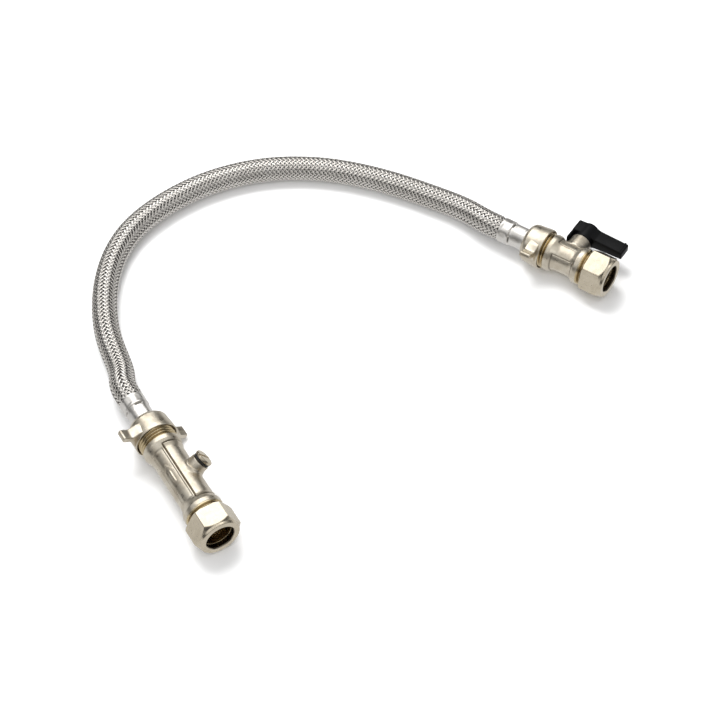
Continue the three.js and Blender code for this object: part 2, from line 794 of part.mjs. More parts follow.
// The ball, its bore along Y and its drive slot across the bore on the +X side.
function ball() {
  const steps = 10;
  const corners = Array.from({ length: steps + 1 }, (_, k) => {
    const angle = Math.PI * k / steps - Math.PI / 2;
    return [k % steps ? ballRadius * Math.cos(angle) : 0, ballRadius * Math.sin(angle)];
  });
  const bore = revolve([
    [0, -ballRadius - through], [ballBore, -ballRadius - through],
    [ballBore, ballRadius + through], [0, ballRadius + through],
  ], smallSides);
  const slotWidth = stemTongueThickness + 2 * turningGap;
  const slot = block(ballRadius, slotWidth, ballRadius * 3, ballSlotFloor + ballRadius / 2, 0, 0);
  return cut(revolve(corners, innerSides), bore, slot);
}

// The stem along +X from the ball, with its flange, two grooves and a square for the lever.
function valveStem() {
  const groove = stemRingRadius - stemRingSection - seatGap / 2;
  const half = stemRingSection + stemGrooveGap;
  const shoulder = stemBossHeight - stemShoulder;
  const flangeEnd = stemFlangeStart + stemFlangeThickness;
  const corners = [
    [0, stemFlangeStart], [stemFlangeRadius, stemFlangeStart], [stemFlangeRadius, flangeEnd],
    [stemRadius, flangeEnd],
  ];
  stemRingOffsets.forEach((x) => corners.push(
    [stemRadius, x - half], [groove, x - half], [groove, x + half], [stemRadius, x + half],
  ));
  corners.push([stemRadius, shoulder], [0, shoulder]);
  const tongue = block(
    stemFlangeStart - ballSlotFloor, stemTongueThickness, stemTongueWidth,
    (stemFlangeStart + ballSlotFloor) / 2 + turningGap, 0, 0,
  );
  const squareStart = shoulder - stemSquareSink;
  const square = block(
    stemEnd - squareStart, stemSquare, stemSquare, (stemEnd + squareStart) / 2, 0, 0,
  );
  const tappedRadius = screwShankRadius + seatGap;
  const tapped = alongX(revolve([
    [0, stemEnd - stemTapping], [tappedRadius, stemEnd - stemTapping],
    [tappedRadius, stemEnd + through], [0, stemEnd + through],
  ], tinySides));
  return cut(join(alongX(revolve(corners, innerSides)), tongue, square), tapped);
}

function stemRing(x) {
  return alongX(ringOf(stemRingSection, stemRingRadius, x));
}

// The lever, open: its grip lies along the valve towards the pipe.
function lever() {
  const near = stemBossHeight + seatGap;
  const hub = alongX(revolve([
    [0, near], [leverHubRadius, near, leverHubRound],
    [leverHubRadius, leverOuter, leverHubRound], [0, leverOuter],
  ], boreSides));
  const tail = leverTail - leverEdge;
  const tip = leverEdge - leverReach;
  const tailHalf = leverTailHalf - leverEdge;
  const tipHalf = leverTipHalf - leverEdge;
  const grip = new THREE.Shape(outline([
    [tail, -tailHalf, leverTailRound], [tail, tailHalf, leverTailRound],
    [tip, tipHalf, leverTipRound], [tip, -tipHalf, leverTipRound],
  ], 2));
  const gripOuter = leverOuter - leverFaceSetback;
  const options = {
    depth: gripOuter - leverGripInner - 2 * leverEdge,
    bevelThickness: leverEdge,
    bevelSize: leverEdge,
    bevelSegments: 2,
  };
  const standing = new THREE.Matrix4().makeBasis(
    new THREE.Vector3(0, 1, 0), new THREE.Vector3(0, 0, 1), new THREE.Vector3(1, 0, 0),
  );
  const bar = solid(new THREE.ExtrudeGeometry(grip, options)
    .applyMatrix4(standing)
    .translate(leverGripInner + leverEdge, 0, 0));
  const lugStart = stemBossRadius + turningGap;
  const lug = block(
    gripOuter - leverLugInner, leverLugThickness, leverLugWidth,
    (gripOuter + leverLugInner) / 2, lugStart + leverLugThickness / 2, 0,
  );
  const pocketFloor = leverOuter - screwPocketDepth;
  const socketEnd = pocketFloor - screwFloor;
  const pocket = alongX(revolve([
    [0, socketEnd - through], [screwShankRadius + seatGap, socketEnd - through],
    [screwShankRadius + seatGap, pocketFloor], [screwHeadRadius + seatGap, pocketFloor],
    [screwHeadRadius + seatGap, leverOuter + through], [0, leverOuter + through],
  ], smallSides));
  const socketSize = stemSquare + 2 * seatGap;
  const socket = block(
    socketEnd - near + through, socketSize, socketSize, (socketEnd + near - through) / 2, 0, 0,
  );
  return cut(join(hub, bar, lug), pocket, socket);
}

function leverScrew() {
  const seat = leverOuter - screwPocketDepth + seatGap;
  const head = seat + screwHeadHeight;
  const screw = revolve([
    [0, seat - screwLength], [screwShankRadius, seat - screwLength], [screwShankRadius, seat],
    [screwHeadRadius, seat], [screwHeadRadius, head, screwSlotDepth], [0, head],
  ], tinySides);
  const depth = 2 * screwSlotDepth;
  const across = block(screwHeadRadius, depth, screwSlotWidth, 0, head, 0);
  const down = block(screwSlotWidth, depth, screwHeadRadius, 0, head, 0);
  return alongX(cut(screw, across, down));
}

const loop = new THREE.Group();
loop.name = 'filling_loop';

// A compression end and a union end, the same on both valves.
function addEnds(valve, side, unionFace, nutRoll, wingAngle) {
  const nut = mesh(`${side}_compression_nut`, compressionNut(nutLength), nickel());
  nut.rotation.y = -degrees(nutRoll);
  valve.add(nut, mesh(`${side}_olive`, olive(), brass()));
  const union = new THREE.Group();
  union.position.y = unionFace;
  const winged = mesh(`${side}_wing_nut`, unionNut(), nickel());
  winged.rotation.y = degrees(wingAngle);
  union.add(
    winged,
    mesh(`${side}_union_washer`, unionWasher(), fibre()),
    mesh(`${side}_hose_tail`, hoseTail(), brass()),
    mesh(`${side}_ferrule`, ferrule(), steel()),
  );
  valve.add(union);
}

const checkValve = new THREE.Group();
checkValve.position.set(...checkPlace, unionRadius);
checkValve.add(mesh('check_valve_body', checkValveBody(), nickel()));
[['inlet', firstCageStart], ['outlet', secondCageStart]].forEach(([end, start]) => {
  const cartridge = new THREE.Group();
  cartridge.position.y = start;
  cartridge.add(
    mesh(`${end}_check_cage`, cage(), acetal()),
    mesh(`${end}_cage_o_ring`, cageRing(), rubber()),
    mesh(`${end}_check_poppet`, poppet(), acetal()),
    mesh(`${end}_poppet_seal`, poppetSeal(), rubber()),
    mesh(`${end}_check_spring`, poppetSpring(), steel()),
  );
  checkValve.add(cartridge);
});
checkValve.add(
  mesh('inlet_retaining_ring', retainingRing(firstGroove + seatGap), steel()),
  mesh('outlet_retaining_ring', retainingRing(secondGroove + seatGap), steel()),
);
const testPoint = new THREE.Group();
testPoint.position.y = checkMiddle;
testPoint.rotation.y = -degrees(testAngle);
testPoint.add(
  mesh('test_plug', testPlug(), nickel()),
  mesh('test_plug_o_ring', testPlugRing(), rubber()),
);
checkValve.add(testPoint);
addEnds(checkValve, 'check_side', checkUnionFace, 0, 31);

const isolator = new THREE.Group();
isolator.position.set(...isolatorPlace, isolatorHeight);
isolator.rotation.set(-isolatorPitch, 0, degrees(isolatorHeading), 'ZXY');
isolator.add(mesh('isolating_valve_body', isolatingValveBody(), nickel()));
const trunnion = new THREE.Group();
trunnion.position.y = stemOffset;
const farSeat = mesh('hose_side_ball_seat', ballSeat(), ptfe());
farSeat.rotation.z = Math.PI;
trunnion.add(
  mesh('valve_ball', ball(), steel()),
  mesh('pipe_side_ball_seat', ballSeat(), ptfe()),
  farSeat,
  mesh('valve_stem', valveStem(), brass()),
  mesh('inner_stem_o_ring', stemRing(stemRingOffsets[0]), rubber()),
  mesh('outer_stem_o_ring', stemRing(stemRingOffsets[1]), rubber()),
  mesh('lever_handle', lever(), blackPlastic()),
  mesh('lever_screw', leverScrew(), steel()),
);
isolator.add(trunnion, mesh('seat_retainer', seatRetainer(), brass()));
addEnds(isolator, 'lever_side', isolatorUnionFace, isolatorNutRoll, 26);

loop.add(checkValve, isolator);
loop.updateMatrixWorld(true);

// The hose: a plain tube on its route, with its crimped ends on the two tails.
function braidedHose() {
  const ends = [[checkValve, checkUnionFace], [isolator, isolatorUnionFace]];
  const stubs = ends.map(([valve, face]) => {
    const stub = geometryOf(hoseStub()).translate(0, face, 0).applyMatrix4(valve.matrixWorld);
    return solid(stub);
  });
  const [checkMouth, isolatorMouth] = ends.map(([valve, face]) => mouthSteps.map((further) => {
    const y = face + ferruleEnd + seatGap + further;
    return new THREE.Vector3(0, y, 0).applyMatrix4(valve.matrixWorld);
  }));
  const route = new THREE.CatmullRomCurve3([
    ...checkMouth, ...hoseRoute.map((point) => new THREE.Vector3(...point)),
    ...isolatorMouth.reverse(),
  ], false, 'centripetal');
  const ring = (radius, turn) => Array.from({ length: hoseSides }, (_, k) => {
    const angle = turn * 2 * Math.PI * k / hoseSides;
    return new THREE.Vector2(Math.cos(angle), Math.sin(angle)).multiplyScalar(radius);
  });
  const section = new THREE.Shape(ring(hoseRadius, 1));
  section.holes.push(new THREE.Path(ring(hoseBore, -1)));
  const options = { steps: hoseSteps, bevelEnabled: false, extrudePath: route };
  const tube = solid(new THREE.ExtrudeGeometry(section, options));
  return join(tube, ...stubs);
}

// The origin is under the middle of all but the hose, on the surface that the loop lies on.
const rigid = new THREE.Box3().setFromObject(loop, true);
loop.add(mesh('braided_hose', braidedHose(), steel()));
const middle = rigid.getCenter(new THREE.Vector3());
loop.position.set(-middle.x, -middle.y, -rigid.min.z);

export default loop;
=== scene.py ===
"""Looks of the filling loop: a braided hose, a double check valve and a lever isolating valve."""

import math

import bmesh
import bpy
import numpy as np
from mathutils import Matrix, Vector


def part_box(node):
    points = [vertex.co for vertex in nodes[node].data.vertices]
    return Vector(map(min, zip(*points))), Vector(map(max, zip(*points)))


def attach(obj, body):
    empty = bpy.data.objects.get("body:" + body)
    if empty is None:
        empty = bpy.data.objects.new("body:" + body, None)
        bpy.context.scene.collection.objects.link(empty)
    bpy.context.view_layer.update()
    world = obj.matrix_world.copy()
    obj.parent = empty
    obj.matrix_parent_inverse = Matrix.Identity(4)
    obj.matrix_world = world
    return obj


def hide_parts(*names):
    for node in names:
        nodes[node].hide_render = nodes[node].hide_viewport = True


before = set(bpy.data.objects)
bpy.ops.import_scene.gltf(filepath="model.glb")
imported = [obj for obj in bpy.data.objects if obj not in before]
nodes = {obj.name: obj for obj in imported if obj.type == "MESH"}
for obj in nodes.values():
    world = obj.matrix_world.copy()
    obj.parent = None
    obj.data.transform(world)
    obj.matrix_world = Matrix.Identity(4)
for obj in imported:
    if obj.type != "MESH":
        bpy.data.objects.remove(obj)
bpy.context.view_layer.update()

# Each valve is made in millimetres in a frame of its own, as in the CAD: its bore along Y,
# the outer face of its compression nut at y = 0, the hose towards +Y and Z up.
MM = 0.001

# Camera, fitted to the circles and flats of both valves in the photograph
CAMERA_HEADING = 31.0647
CAMERA_ELEVATION = 51.588
CAMERA_DISTANCE = 0.94611
CAMERA_LENS = 85.49
SENSOR = 36

# Places of the two pipe ends before the CAD moves the loop over its origin
CHECK_PLACE = (-123.9, -69.9)
ISOLATOR_PLACE = (145.6, -31.9)
ISOLATOR_HEADING = 24.45
ISOLATOR_NUT_ROLL = 16

# Where the isolating valve rests on the floor: past its union's face, and back from its nut's end
UNION_CONTACT = 1.7
NUT_CONTACT = 1.2

# Sizes below are in millimetres and angles in degrees, the CAD's where the CAD has them.

# Compression nuts and olives
NUT_LENGTH = 13.7
NUT_FLATS = 23
NUT_FACE = 11.3
NUT_HOLE = 7.8
NUT_CHAMFER = 3.3
NUT_OLIVE_SEAT = 5.4
NUT_OUTSIDE = 10.95
# Painted shade inside the nut's hole
NUT_HOLE_SHADE = 0.85
OLIVE_RADIUS = 8.9
OLIVE_END_RADIUS = 7.95
OLIVE_START = 3.2
OLIVE_END = 9.6

# Pipe sockets and threads, the same on both bodies
SOCKET = 7.6
SOCKET_DEPTH = 18.6
SOCKET_CONE = 1.2
SOCKET_CONE_END = 9.9
BODY_SETBACK = 7.6
THREAD_RADIUS = 10.48
THREAD_PITCH = 1.814
THREAD_DEPTH = 0.95
THREAD_START = 17.2
THREAD_CHAMFER = 0.7
THREAD_FADE = 0.8
THREAD_GAP = 0.3
THREAD_IN_UNION = 5

# Both bodies, whose outside and bore are told apart by their radius
BODY_RADIUS = 9
BODY_OUTSIDE = 8.6
BODY_BARE = 8.5
COLLAR_RADIUS = 10.75
COLLAR_LENGTH = 2.6
# Painted shade inside the bores and in the thread roots
BORE_SHADE = 0.6
THREAD_SHADE = 0.9
THREAD_STEP = 0.18
CAST_STEP = 0.34

# Check valve
CHECK_UNION = 70.7
CHECK_THREAD_FROM = 65.5
CHECK_FLARE = 4.6
CHECK_MIDDLE = 41.95
CHECK_BORE = 7.1
CHECK_NECK = 5.2
CHECK_NECK_FROM = 36.35
CHECK_NECK_TO = 47.55
PAD_RISE = 0.4
PAD_HALF_ANGLE = 60
PAD_LINE_HALF_ANGLE = 62.5
PAD_LINE_WIDTH = 1.1
PAD_LINE_DEPTH = 0.5
PAD_EDGE = 0.3
PANEL_LENGTH = 37.2
PANEL_DEPTH = 0.35
PANEL_ANGLE = 94
PANEL_HALF_ANGLE = 24
PANEL_INSET = 1.4
PANEL_EDGE = 0.4
ARROW_TAIL = 38
ARROW_TIP = 50
ARROW_HEAD = 5
ARROW_HEAD_HALF = 2.6
ARROW_SHAFT_HALF = 0.8
ARROW_RISE = 0.4
ARROW_EDGE = 0.35

# Test point
TEST_ANGLE = 34
TEST_BOSS = 5.2
TEST_BOSS_HEIGHT = 13.8
TEST_BOSS_FILLET = 1.6
PLUG_SEAT = 15.5
PLUG_TOP = 17.4
PLUG_HEAD = 5.1
PLUG_SHANK = 3.3
PLUG_FOOT = 10.6
PLUG_SLOT_WIDTH = 1.1
PLUG_SLOT_DEPTH = 0.9
PLUG_RING = 4.3
PLUG_RING_SECTION = 0.55
PLUG_RING_PLACE = 14.65

# Isolating valve
ISOLATOR_UNION = 41.3
ISOLATOR_THREAD_FROM = 38.6
ISOLATOR_FLARE = 3.4
CHAMBER_BORE = 7
CHAMBER_START = 20.2
BALL_WAY = 4
STEM_OFFSET = 27.6
STEM_BOSS = 6.3
STEM_BOSS_HEIGHT = 15.8
STEM_BOSS_FILLET = 1.4
SIDE_PANEL_ANGLE = 67.5
SIDE_PANEL_HALF_ANGLE = 19.5
BACK_PANEL_HALF_ANGLE = 45
ISOLATOR_PANEL_HALF_LENGTH = 6.7
ISOLATOR_LINE_WIDTH = 0.9
ISOLATOR_LINE_DEPTH = 0.3
# Painted shade along the panels' outline grooves
ISOLATOR_LINE_SHADE = 0.8

# Unions: winged nuts and ferrules
UNION_RADIUS = 12
UNION_NUT_LENGTH = 12.5
UNION_NUT_FLOOR = 9.9
UNION_NUT_HOLE = 7.05
CHECK_EAR_ANGLE = -31
LEVER_EAR_ANGLE = -26
EAR_HALF = 1.35
EAR_REACH = 20.5
EAR_LOW = 1.3
EAR_HIGH = 7.9
EAR_BEVEL = 0.65
EAR_ROOT = 11.35
EAR_ROOT_ANGLES = (34, 23, 11, 0, -11, -23, -34)
FERRULE_STEP = 22.7
FERRULE_END = 29.3
FERRULE_COLLAR = 7.2
FERRULE_NECK = 6.7
FERRULE_OUTSIDE = 6.3
FERRULE_DENTS = 4
FERRULE_DENT_DEPTH = 0.8
FERRULE_DENT_WIDTH = 0.38
FERRULE_CRIMPS = 8
FERRULE_CRIMP_DEPTH = 0.13
FERRULE_FLATS = 6
FERRULE_FLAT_DEPTH = 0.10

# Lever and its screw
LEVER_HUB = 5.8
LEVER_NEAR = 16.1
LEVER_OUTER = 27.3
LEVER_GRIP_INNER = 18.3
LEVER_GRIP_OUTER = 27
LEVER_HEEL_HALF = 5.2
LEVER_REACH = 24.6
LEVER_TAIL_HALF = 3.3
LEVER_TIP_HALF = 2.5
LEVER_RIB_RISE = 0.25
LUG_INNER = 11.8
LUG_START = 6.6
LUG_END = 7.8
LUG_HALF = 4.4
POCKET_RADIUS = 2.7
POCKET_FLOOR = 24.3
SCREW_HEAD = 2.4
SCREW_SEAT = 24.6
SCREW_TOP = 26

# Points round each turned piece
BODY_SIDES = 288
NUT_SIDES = 240
WING_NUT_SIDES = 144
FERRULE_SIDES = 160
BOSS_SIDES = 96

# Hose
HOSE_RADIUS = 7.2
HOSE_GAP = 0.3
HOSE_STEPS = 1600
HOSE_EASE = 5
MOUTH_POINTS = (0, 5, 12)
LINER_DEPTH = 0.95
LINER_STEPS = 260
LINER_SIDES = 48
THROAT_DEPTH = 0.75

# Braid: its ribbons' number, slant in degrees and section, and the points along each crossing
CARRIERS = 18
BRAID_ANGLE = 43
RIBBON_WIDTH = 1.3
RIBBON_ARCH = 0.2
BRAID_DEPTH = 0.24
WEAVE_STEPS = 3

# The hose's route from the CAD, before the move over the origin
HOSE_ROUTE = [
    (-118.9, 53.5, 7.6),
    (-113.8, 81.6, 7.3),
    (-104.1, 106.3, 7.3),
    (-88.8, 128.8, 7.3),
    (-69.3, 145.1, 7.3),
    (-46.6, 153.8, 7.3),
    (-13.8, 157.3, 7.3),
    (21.1, 150.4, 7.3),
    (51.8, 133.1, 7.3),
    (77, 107.9, 7.3),
    (98.6, 76.4, 7.4),
    (108.1, 58.2, 8.4),
]

# Places in the row frame
nut_low, nut_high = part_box("check_side_compression_nut")
SHIFT = Vector((
    (nut_low.x + nut_high.x) / 2 / MM - CHECK_PLACE[0], nut_low.y / MM - CHECK_PLACE[1], 0,
))
nut_corner = NUT_FLATS / math.sqrt(3) * math.cos(math.radians(30 - ISOLATOR_NUT_ROLL))
union_contact = ISOLATOR_UNION + UNION_CONTACT
pitch = math.asin((nut_corner - UNION_RADIUS) / (union_contact - (NUT_LENGTH - NUT_CONTACT)))
isolator_height = (UNION_RADIUS + union_contact * math.sin(pitch)) / math.cos(pitch)
SCALE = Matrix.Scale(MM, 4)
CHECK = SCALE @ Matrix.Translation(Vector((*CHECK_PLACE, UNION_RADIUS)) + SHIFT)
ISOLATOR = (
    SCALE @ Matrix.Translation(Vector((*ISOLATOR_PLACE, isolator_height)) + SHIFT)
    @ Matrix.Rotation(math.radians(ISOLATOR_HEADING), 4, "Z") @ Matrix.Rotation(-pitch, 4, "X")
)
ALONG_X = Matrix.Rotation(-math.pi / 2, 4, "Z")


def at(y, angle=0):
    """A frame that is moved along a valve's bore and turned about it, from +X towards +Z."""
    return Matrix.Translation((0, y, 0)) @ Matrix.Rotation(-math.radians(angle), 4, "Y")


# Camera
target = SHIFT * MM
heading = math.radians(CAMERA_HEADING)
elevation = math.radians(CAMERA_ELEVATION)
away = Vector((
    -math.sin(heading) * math.cos(elevation), -math.cos(heading) * math.cos(elevation),
    math.sin(elevation),
))
camera_data = bpy.data.cameras.new("camera")
camera_data.lens = CAMERA_LENS
camera_data.sensor_width = SENSOR
camera_data.clip_start = 0.01
camera = bpy.data.objects.new("camera", camera_data)
camera.location = target + away * CAMERA_DISTANCE
camera.rotation_euler = (-away).to_track_quat("-Z", "Y").to_euler()
bpy.context.scene.collection.objects.link(camera)
bpy.context.scene.camera = camera


# Materials
class Shader:
    """A principled material that is built node by node."""

    def __init__(self, name, colour, roughness, metallic=0.0, **sockets):
        self.material = bpy.data.materials.new(name)
        self.material.use_nodes = True
        self.tree = self.material.node_tree
        self.shader = self.tree.nodes["Principled BSDF"]
        self.set("Base Color", (*colour, 1))
        self.set("Roughness", roughness)
        self.set("Metallic", metallic)
        for socket, value in sockets.items():
            self.set(socket.replace("_", " "), value)
        self.height = None

    def set(self, socket, value):
        self.shader.inputs[socket].default_value = value

    def node(self, kind, inputs=(), **settings):
        made = self.tree.nodes.new(kind)
        for setting, value in settings.items():
            setattr(made, setting, value)
        for socket, value in dict(inputs).items():
            if isinstance(value, bpy.types.NodeSocket):
                self.tree.links.new(value, made.inputs[socket])
            else:
                made.inputs[socket].default_value = value
        return made

    def place(self):
        return self.node("ShaderNodeTexCoord").outputs["Object"]

    def noise(self, scale, detail=4, roughness=0.5, place=None):
        inputs = {
            "Vector": place or self.place(), "Scale": scale, "Detail": detail,
            "Roughness": roughness,
        }
        return self.node("ShaderNodeTexNoise", inputs).outputs["Fac"]

    def ramp(self, value, low, high, to_low=0.0, to_high=1.0):
        inputs = {
            "Value": value, "From Min": low, "From Max": high, "To Min": to_low, "To Max": to_high,
        }
        return self.node("ShaderNodeMapRange", inputs).outputs["Result"]

    def mix(self, factor, first, second):
        made = self.node("ShaderNodeMix", data_type="RGBA")
        for index, value in ((0, factor), (6, first), (7, second)):
            if isinstance(value, bpy.types.NodeSocket):
                self.tree.links.new(value, made.inputs[index])
            else:
                made.inputs[index].default_value = value if index == 0 else (*value, 1)
        return made.outputs[2]

    def painted_shade(self):
        """How much painted shade darkens a point: in a groove, a thread root, a dent or a bore."""
        made = self.node("ShaderNodeAttribute", attribute_name="painted_shade")
        return made.outputs["Fac"]

    def link(self, value, socket):
        self.tree.links.new(value, self.shader.inputs[socket])
        return self

    def bump(self, height, distance, strength=1.0):
        inputs = {"Height": height, "Distance": distance, "Strength": strength}
        if self.height:
            inputs["Normal"] = self.height
        self.height = self.node("ShaderNodeBump", inputs).outputs["Normal"]
        self.tree.links.new(self.height, self.shader.inputs["Normal"])
        return self


def cast_nickel():
    """Satin nickel over a sand casting: fine grain, faint clouds and duller, tanner patches, with
    painted shade along the outline grooves of its pad and panels.
    """
    made = Shader("cast_nickel", (0.62, 0.55, 0.45), 0.34, 1.0)
    cloud = made.noise(130, 5, 0.62)
    tone = made.mix(made.ramp(cloud, 0.38, 0.68), (0.76, 0.70, 0.585), (0.58, 0.51, 0.40))
    # Painted shade: near black where the shape marked a point as shaded
    made.link(made.mix(made.painted_shade(), tone, (0.07, 0.05, 0.03)), "Base Color")
    made.link(made.ramp(made.noise(380, 4, 0.6), 0.3, 0.7, 0.24, 0.44), "Roughness")
    made.bump(made.noise(1300, 3), 0.00004, 0.4)
    made.bump(made.noise(300, 3), 0.00009, 0.4)
    return made.material


def turned_nickel():
    """Nickel over a machined face: brighter, with faint clouds and rubbed, duller specks, and
    painted shade inside the nut's hole.
    """
    made = Shader("turned_nickel", (0.70, 0.64, 0.53), 0.24, 1.0)
    tone = made.mix(made.ramp(made.noise(240, 5, 0.65), 0.4, 0.75), (0.69, 0.615, 0.485),
                    (0.58, 0.51, 0.39))
    # Painted shade: near black where the shape marked a point as shaded
    made.link(made.mix(made.painted_shade(), tone, (0.05, 0.035, 0.02)), "Base Color")
    made.link(made.ramp(made.noise(460, 4, 0.6), 0.3, 0.7, 0.19, 0.3), "Roughness")
    made.bump(made.noise(1000, 3), 0.00003, 0.4)
    return made.material


def bright_brass():
    """Bare machined brass, darker in random patches where it has begun to tarnish, with painted
    shade in its thread roots and inside the bore.
    """
    made = Shader("bright_brass", (0.52, 0.41, 0.22), 0.28, 1.0)
    tone = made.mix(made.ramp(made.noise(200, 4), 0.4, 0.75), (0.70, 0.58, 0.37),
                    (0.52, 0.41, 0.23))
    # Painted shade: dark brown where the shape marked a point as shaded
    made.link(made.mix(made.painted_shade(), tone, (0.15, 0.085, 0.02)), "Base Color")
    made.link(made.ramp(made.noise(800, 3), 0.3, 0.7, 0.18, 0.3), "Roughness")
    made.bump(made.noise(1400, 2), 0.00002, 0.4)
    return made.material


def drawn_steel():
    """Pressed stainless steel, bright, with fine drawing scratches, and painted shade in the
    ferrules' dents.
    """
    made = Shader("drawn_steel", (0.7, 0.685, 0.66), 0.22, 1.0)
    tone = made.mix(made.ramp(made.noise(240, 5, 0.6), 0.4, 0.7), (0.84, 0.815, 0.775),
                    (0.74, 0.715, 0.675))
    # Painted shade: near black where the shape marked a point as shaded
    made.link(made.mix(made.painted_shade(), tone, (0.03, 0.03, 0.03)), "Base Color")
    made.link(made.ramp(made.noise(350, 4), 0.3, 0.7, 0.27, 0.42), "Roughness")
    made.bump(made.noise(520, 4, 0.6), 0.00008, 0.45)
    return made.material


def braid_wire():
    """Stainless braid: each ribbon's own wires run along it, counted across by the uv map, with
    painted shade between the wires and along each ribbon's edges.
    """
    made = Shader("braid_wire", (0.74, 0.73, 0.71), 0.25, 1.0)
    across = made.node("ShaderNodeSeparateXYZ", {
        "Vector": made.node("ShaderNodeTexCoord").outputs["UV"],
    }).outputs["X"]
    wires = 6
    phase = made.node("ShaderNodeMath", {0: across, 1: wires * 2 * math.pi}, operation="MULTIPLY")
    wave = made.node("ShaderNodeMath", {0: phase.outputs[0]}, operation="COSINE").outputs[0]
    # Painted shade: the colour darkens in the grooves between the wires
    groove = made.ramp(wave, 0.3, 1.0, 1.0, 0.55)
    off = made.node("ShaderNodeMath", {0: across, 1: 0.5}, operation="SUBTRACT").outputs[0]
    side = made.node("ShaderNodeMath", {0: off}, operation="ABSOLUTE").outputs[0]
    tone = made.mix(made.ramp(made.noise(70, 3), 0.35, 0.65), (0.95, 0.915, 0.865),
                    (0.86, 0.825, 0.775))
    tone = made.mix(groove, (0.3, 0.285, 0.27), tone)
    # Painted shade: each ribbon darkens towards both its edges
    made.link(made.mix(made.ramp(side, 0.34, 0.5), tone, (0.12, 0.11, 0.1)), "Base Color")
    made.link(made.ramp(made.noise(420, 3), 0.3, 0.7, 0.15, 0.28), "Roughness")
    made.bump(made.ramp(wave, -1, 1, 1, 0), 0.00005, 0.45)
    return made.material


def black_rubber():
    """Dull black rubber with a fine skin."""
    made = Shader("black_rubber", (0.012, 0.012, 0.012), 0.55)
    made.link(made.ramp(made.noise(600, 3), 0.3, 0.7, 0.45, 0.65), "Roughness")
    made.bump(made.noise(1100, 3), 0.00008, 0.5)
    return made.material


def lever_plastic():
    """Black moulded plastic with a fine spark-eroded grain and rubbed, shinier patches."""
    made = Shader("lever_plastic", (0.003, 0.003, 0.0033), 0.36, Specular_IOR_Level=0.12)
    made.link(made.ramp(made.noise(140, 4, 0.6), 0.35, 0.7, 0.28, 0.46), "Roughness")
    made.bump(made.noise(1700, 2), 0.00007, 0.55)
    return made.material


def pale_plastic(name, colour, roughness):
    """A pale moulded plastic with a faintly uneven gloss."""
    made = Shader(name, colour, roughness)
    made.link(made.ramp(made.noise(300, 3), 0.3, 0.7, roughness - 0.08, roughness + 0.1),
              "Roughness")
    made.bump(made.noise(900, 3), 0.00005, 0.5)
    return made.material


def pressed_fibre():
    """A grey fibre washer, matted and slightly rough."""
    made = Shader("pressed_fibre", (0.09, 0.11, 0.13), 0.85)
    made.link(made.mix(made.noise(900, 5, 0.7), (0.06, 0.08, 0.10), (0.16, 0.18, 0.2)),
              "Base Color")
    made.bump(made.noise(1500, 4), 0.0001, 0.8)
    return made.material


CAST = cast_nickel()
TURNED = turned_nickel()
BRASS = bright_brass()
STEEL = drawn_steel()
WIRE = braid_wire()
RUBBER = black_rubber()
LEVER = lever_plastic()
PTFE = pale_plastic("ptfe", (0.86, 0.86, 0.83), 0.42)
ACETAL = pale_plastic("acetal", (0.8, 0.77, 0.7), 0.36)
FIBRE = pressed_fibre()


# Geometry
def rounded(corners, steps=5, closed=True):
    """Points of an outline of (a, b) or (a, b, radius) corners, each radius an arc."""
    points = []
    count = len(corners)
    for i, corner in enumerate(corners):
        here = np.array(corner[:2], float)
        inner = closed or 0 < i < count - 1
        if len(corner) < 3 or not inner:
            points.append(here)
            continue
        back = np.array(corners[i - 1][:2], float) - here
        on = np.array(corners[(i + 1) % count][:2], float) - here
        back /= np.linalg.norm(back)
        on /= np.linalg.norm(on)
        half = math.acos(np.clip(back @ on, -1, 1)) / 2
        reach = corner[2] / math.tan(half)
        centre = here + (back + on) / np.linalg.norm(back + on) * corner[2] / math.sin(half)
        first = here + back * reach - centre
        turn = np.sign(on[0] * back[1] - on[1] * back[0])
        sweep = math.pi - 2 * half
        for k in range(steps + 1):
            angle = turn * sweep * k / steps
            c, s = math.cos(angle), math.sin(angle)
            points.append(centre + np.array((c * first[0] - s * first[1],
                                             s * first[0] + c * first[1])))
    return np.array(points)


def refined(points, step):
    """An open run of points with none further apart than step."""
    out = [points[0]]
    for a, b in zip(points[:-1], points[1:]):
        count = max(1, math.ceil(np.linalg.norm(b - a) / step))
        out.extend(a + (b - a) * k / count for k in range(1, count + 1))
    return np.array(out)


def add_mesh(name, points, faces, place, body, materials, slots=None, sharp=35):
    """A smooth mesh piece in a place, which rides on a body."""
    mesh = bpy.data.meshes.new(name)
    mesh.from_pydata([tuple(p) for p in points], [], [tuple(f) for f in faces])
    mesh.transform(place)
    solid = bmesh.new()
    solid.from_mesh(mesh)
    if solid.calc_volume(signed=True) < 0:
        mesh.flip_normals()
    solid.free()
    for material in materials:
        mesh.materials.append(material)
    if slots is not None:
        mesh.polygons.foreach_set("material_index", np.asarray(slots, np.int32))
    mesh.polygons.foreach_set("use_smooth", np.ones(len(mesh.polygons), bool))
    mesh.set_sharp_from_angle(angle=math.radians(sharp))
    mesh.update()
    obj = bpy.data.objects.new(name, mesh)
    bpy.context.scene.collection.objects.link(obj)
    if body:
        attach(obj, body)
    return obj


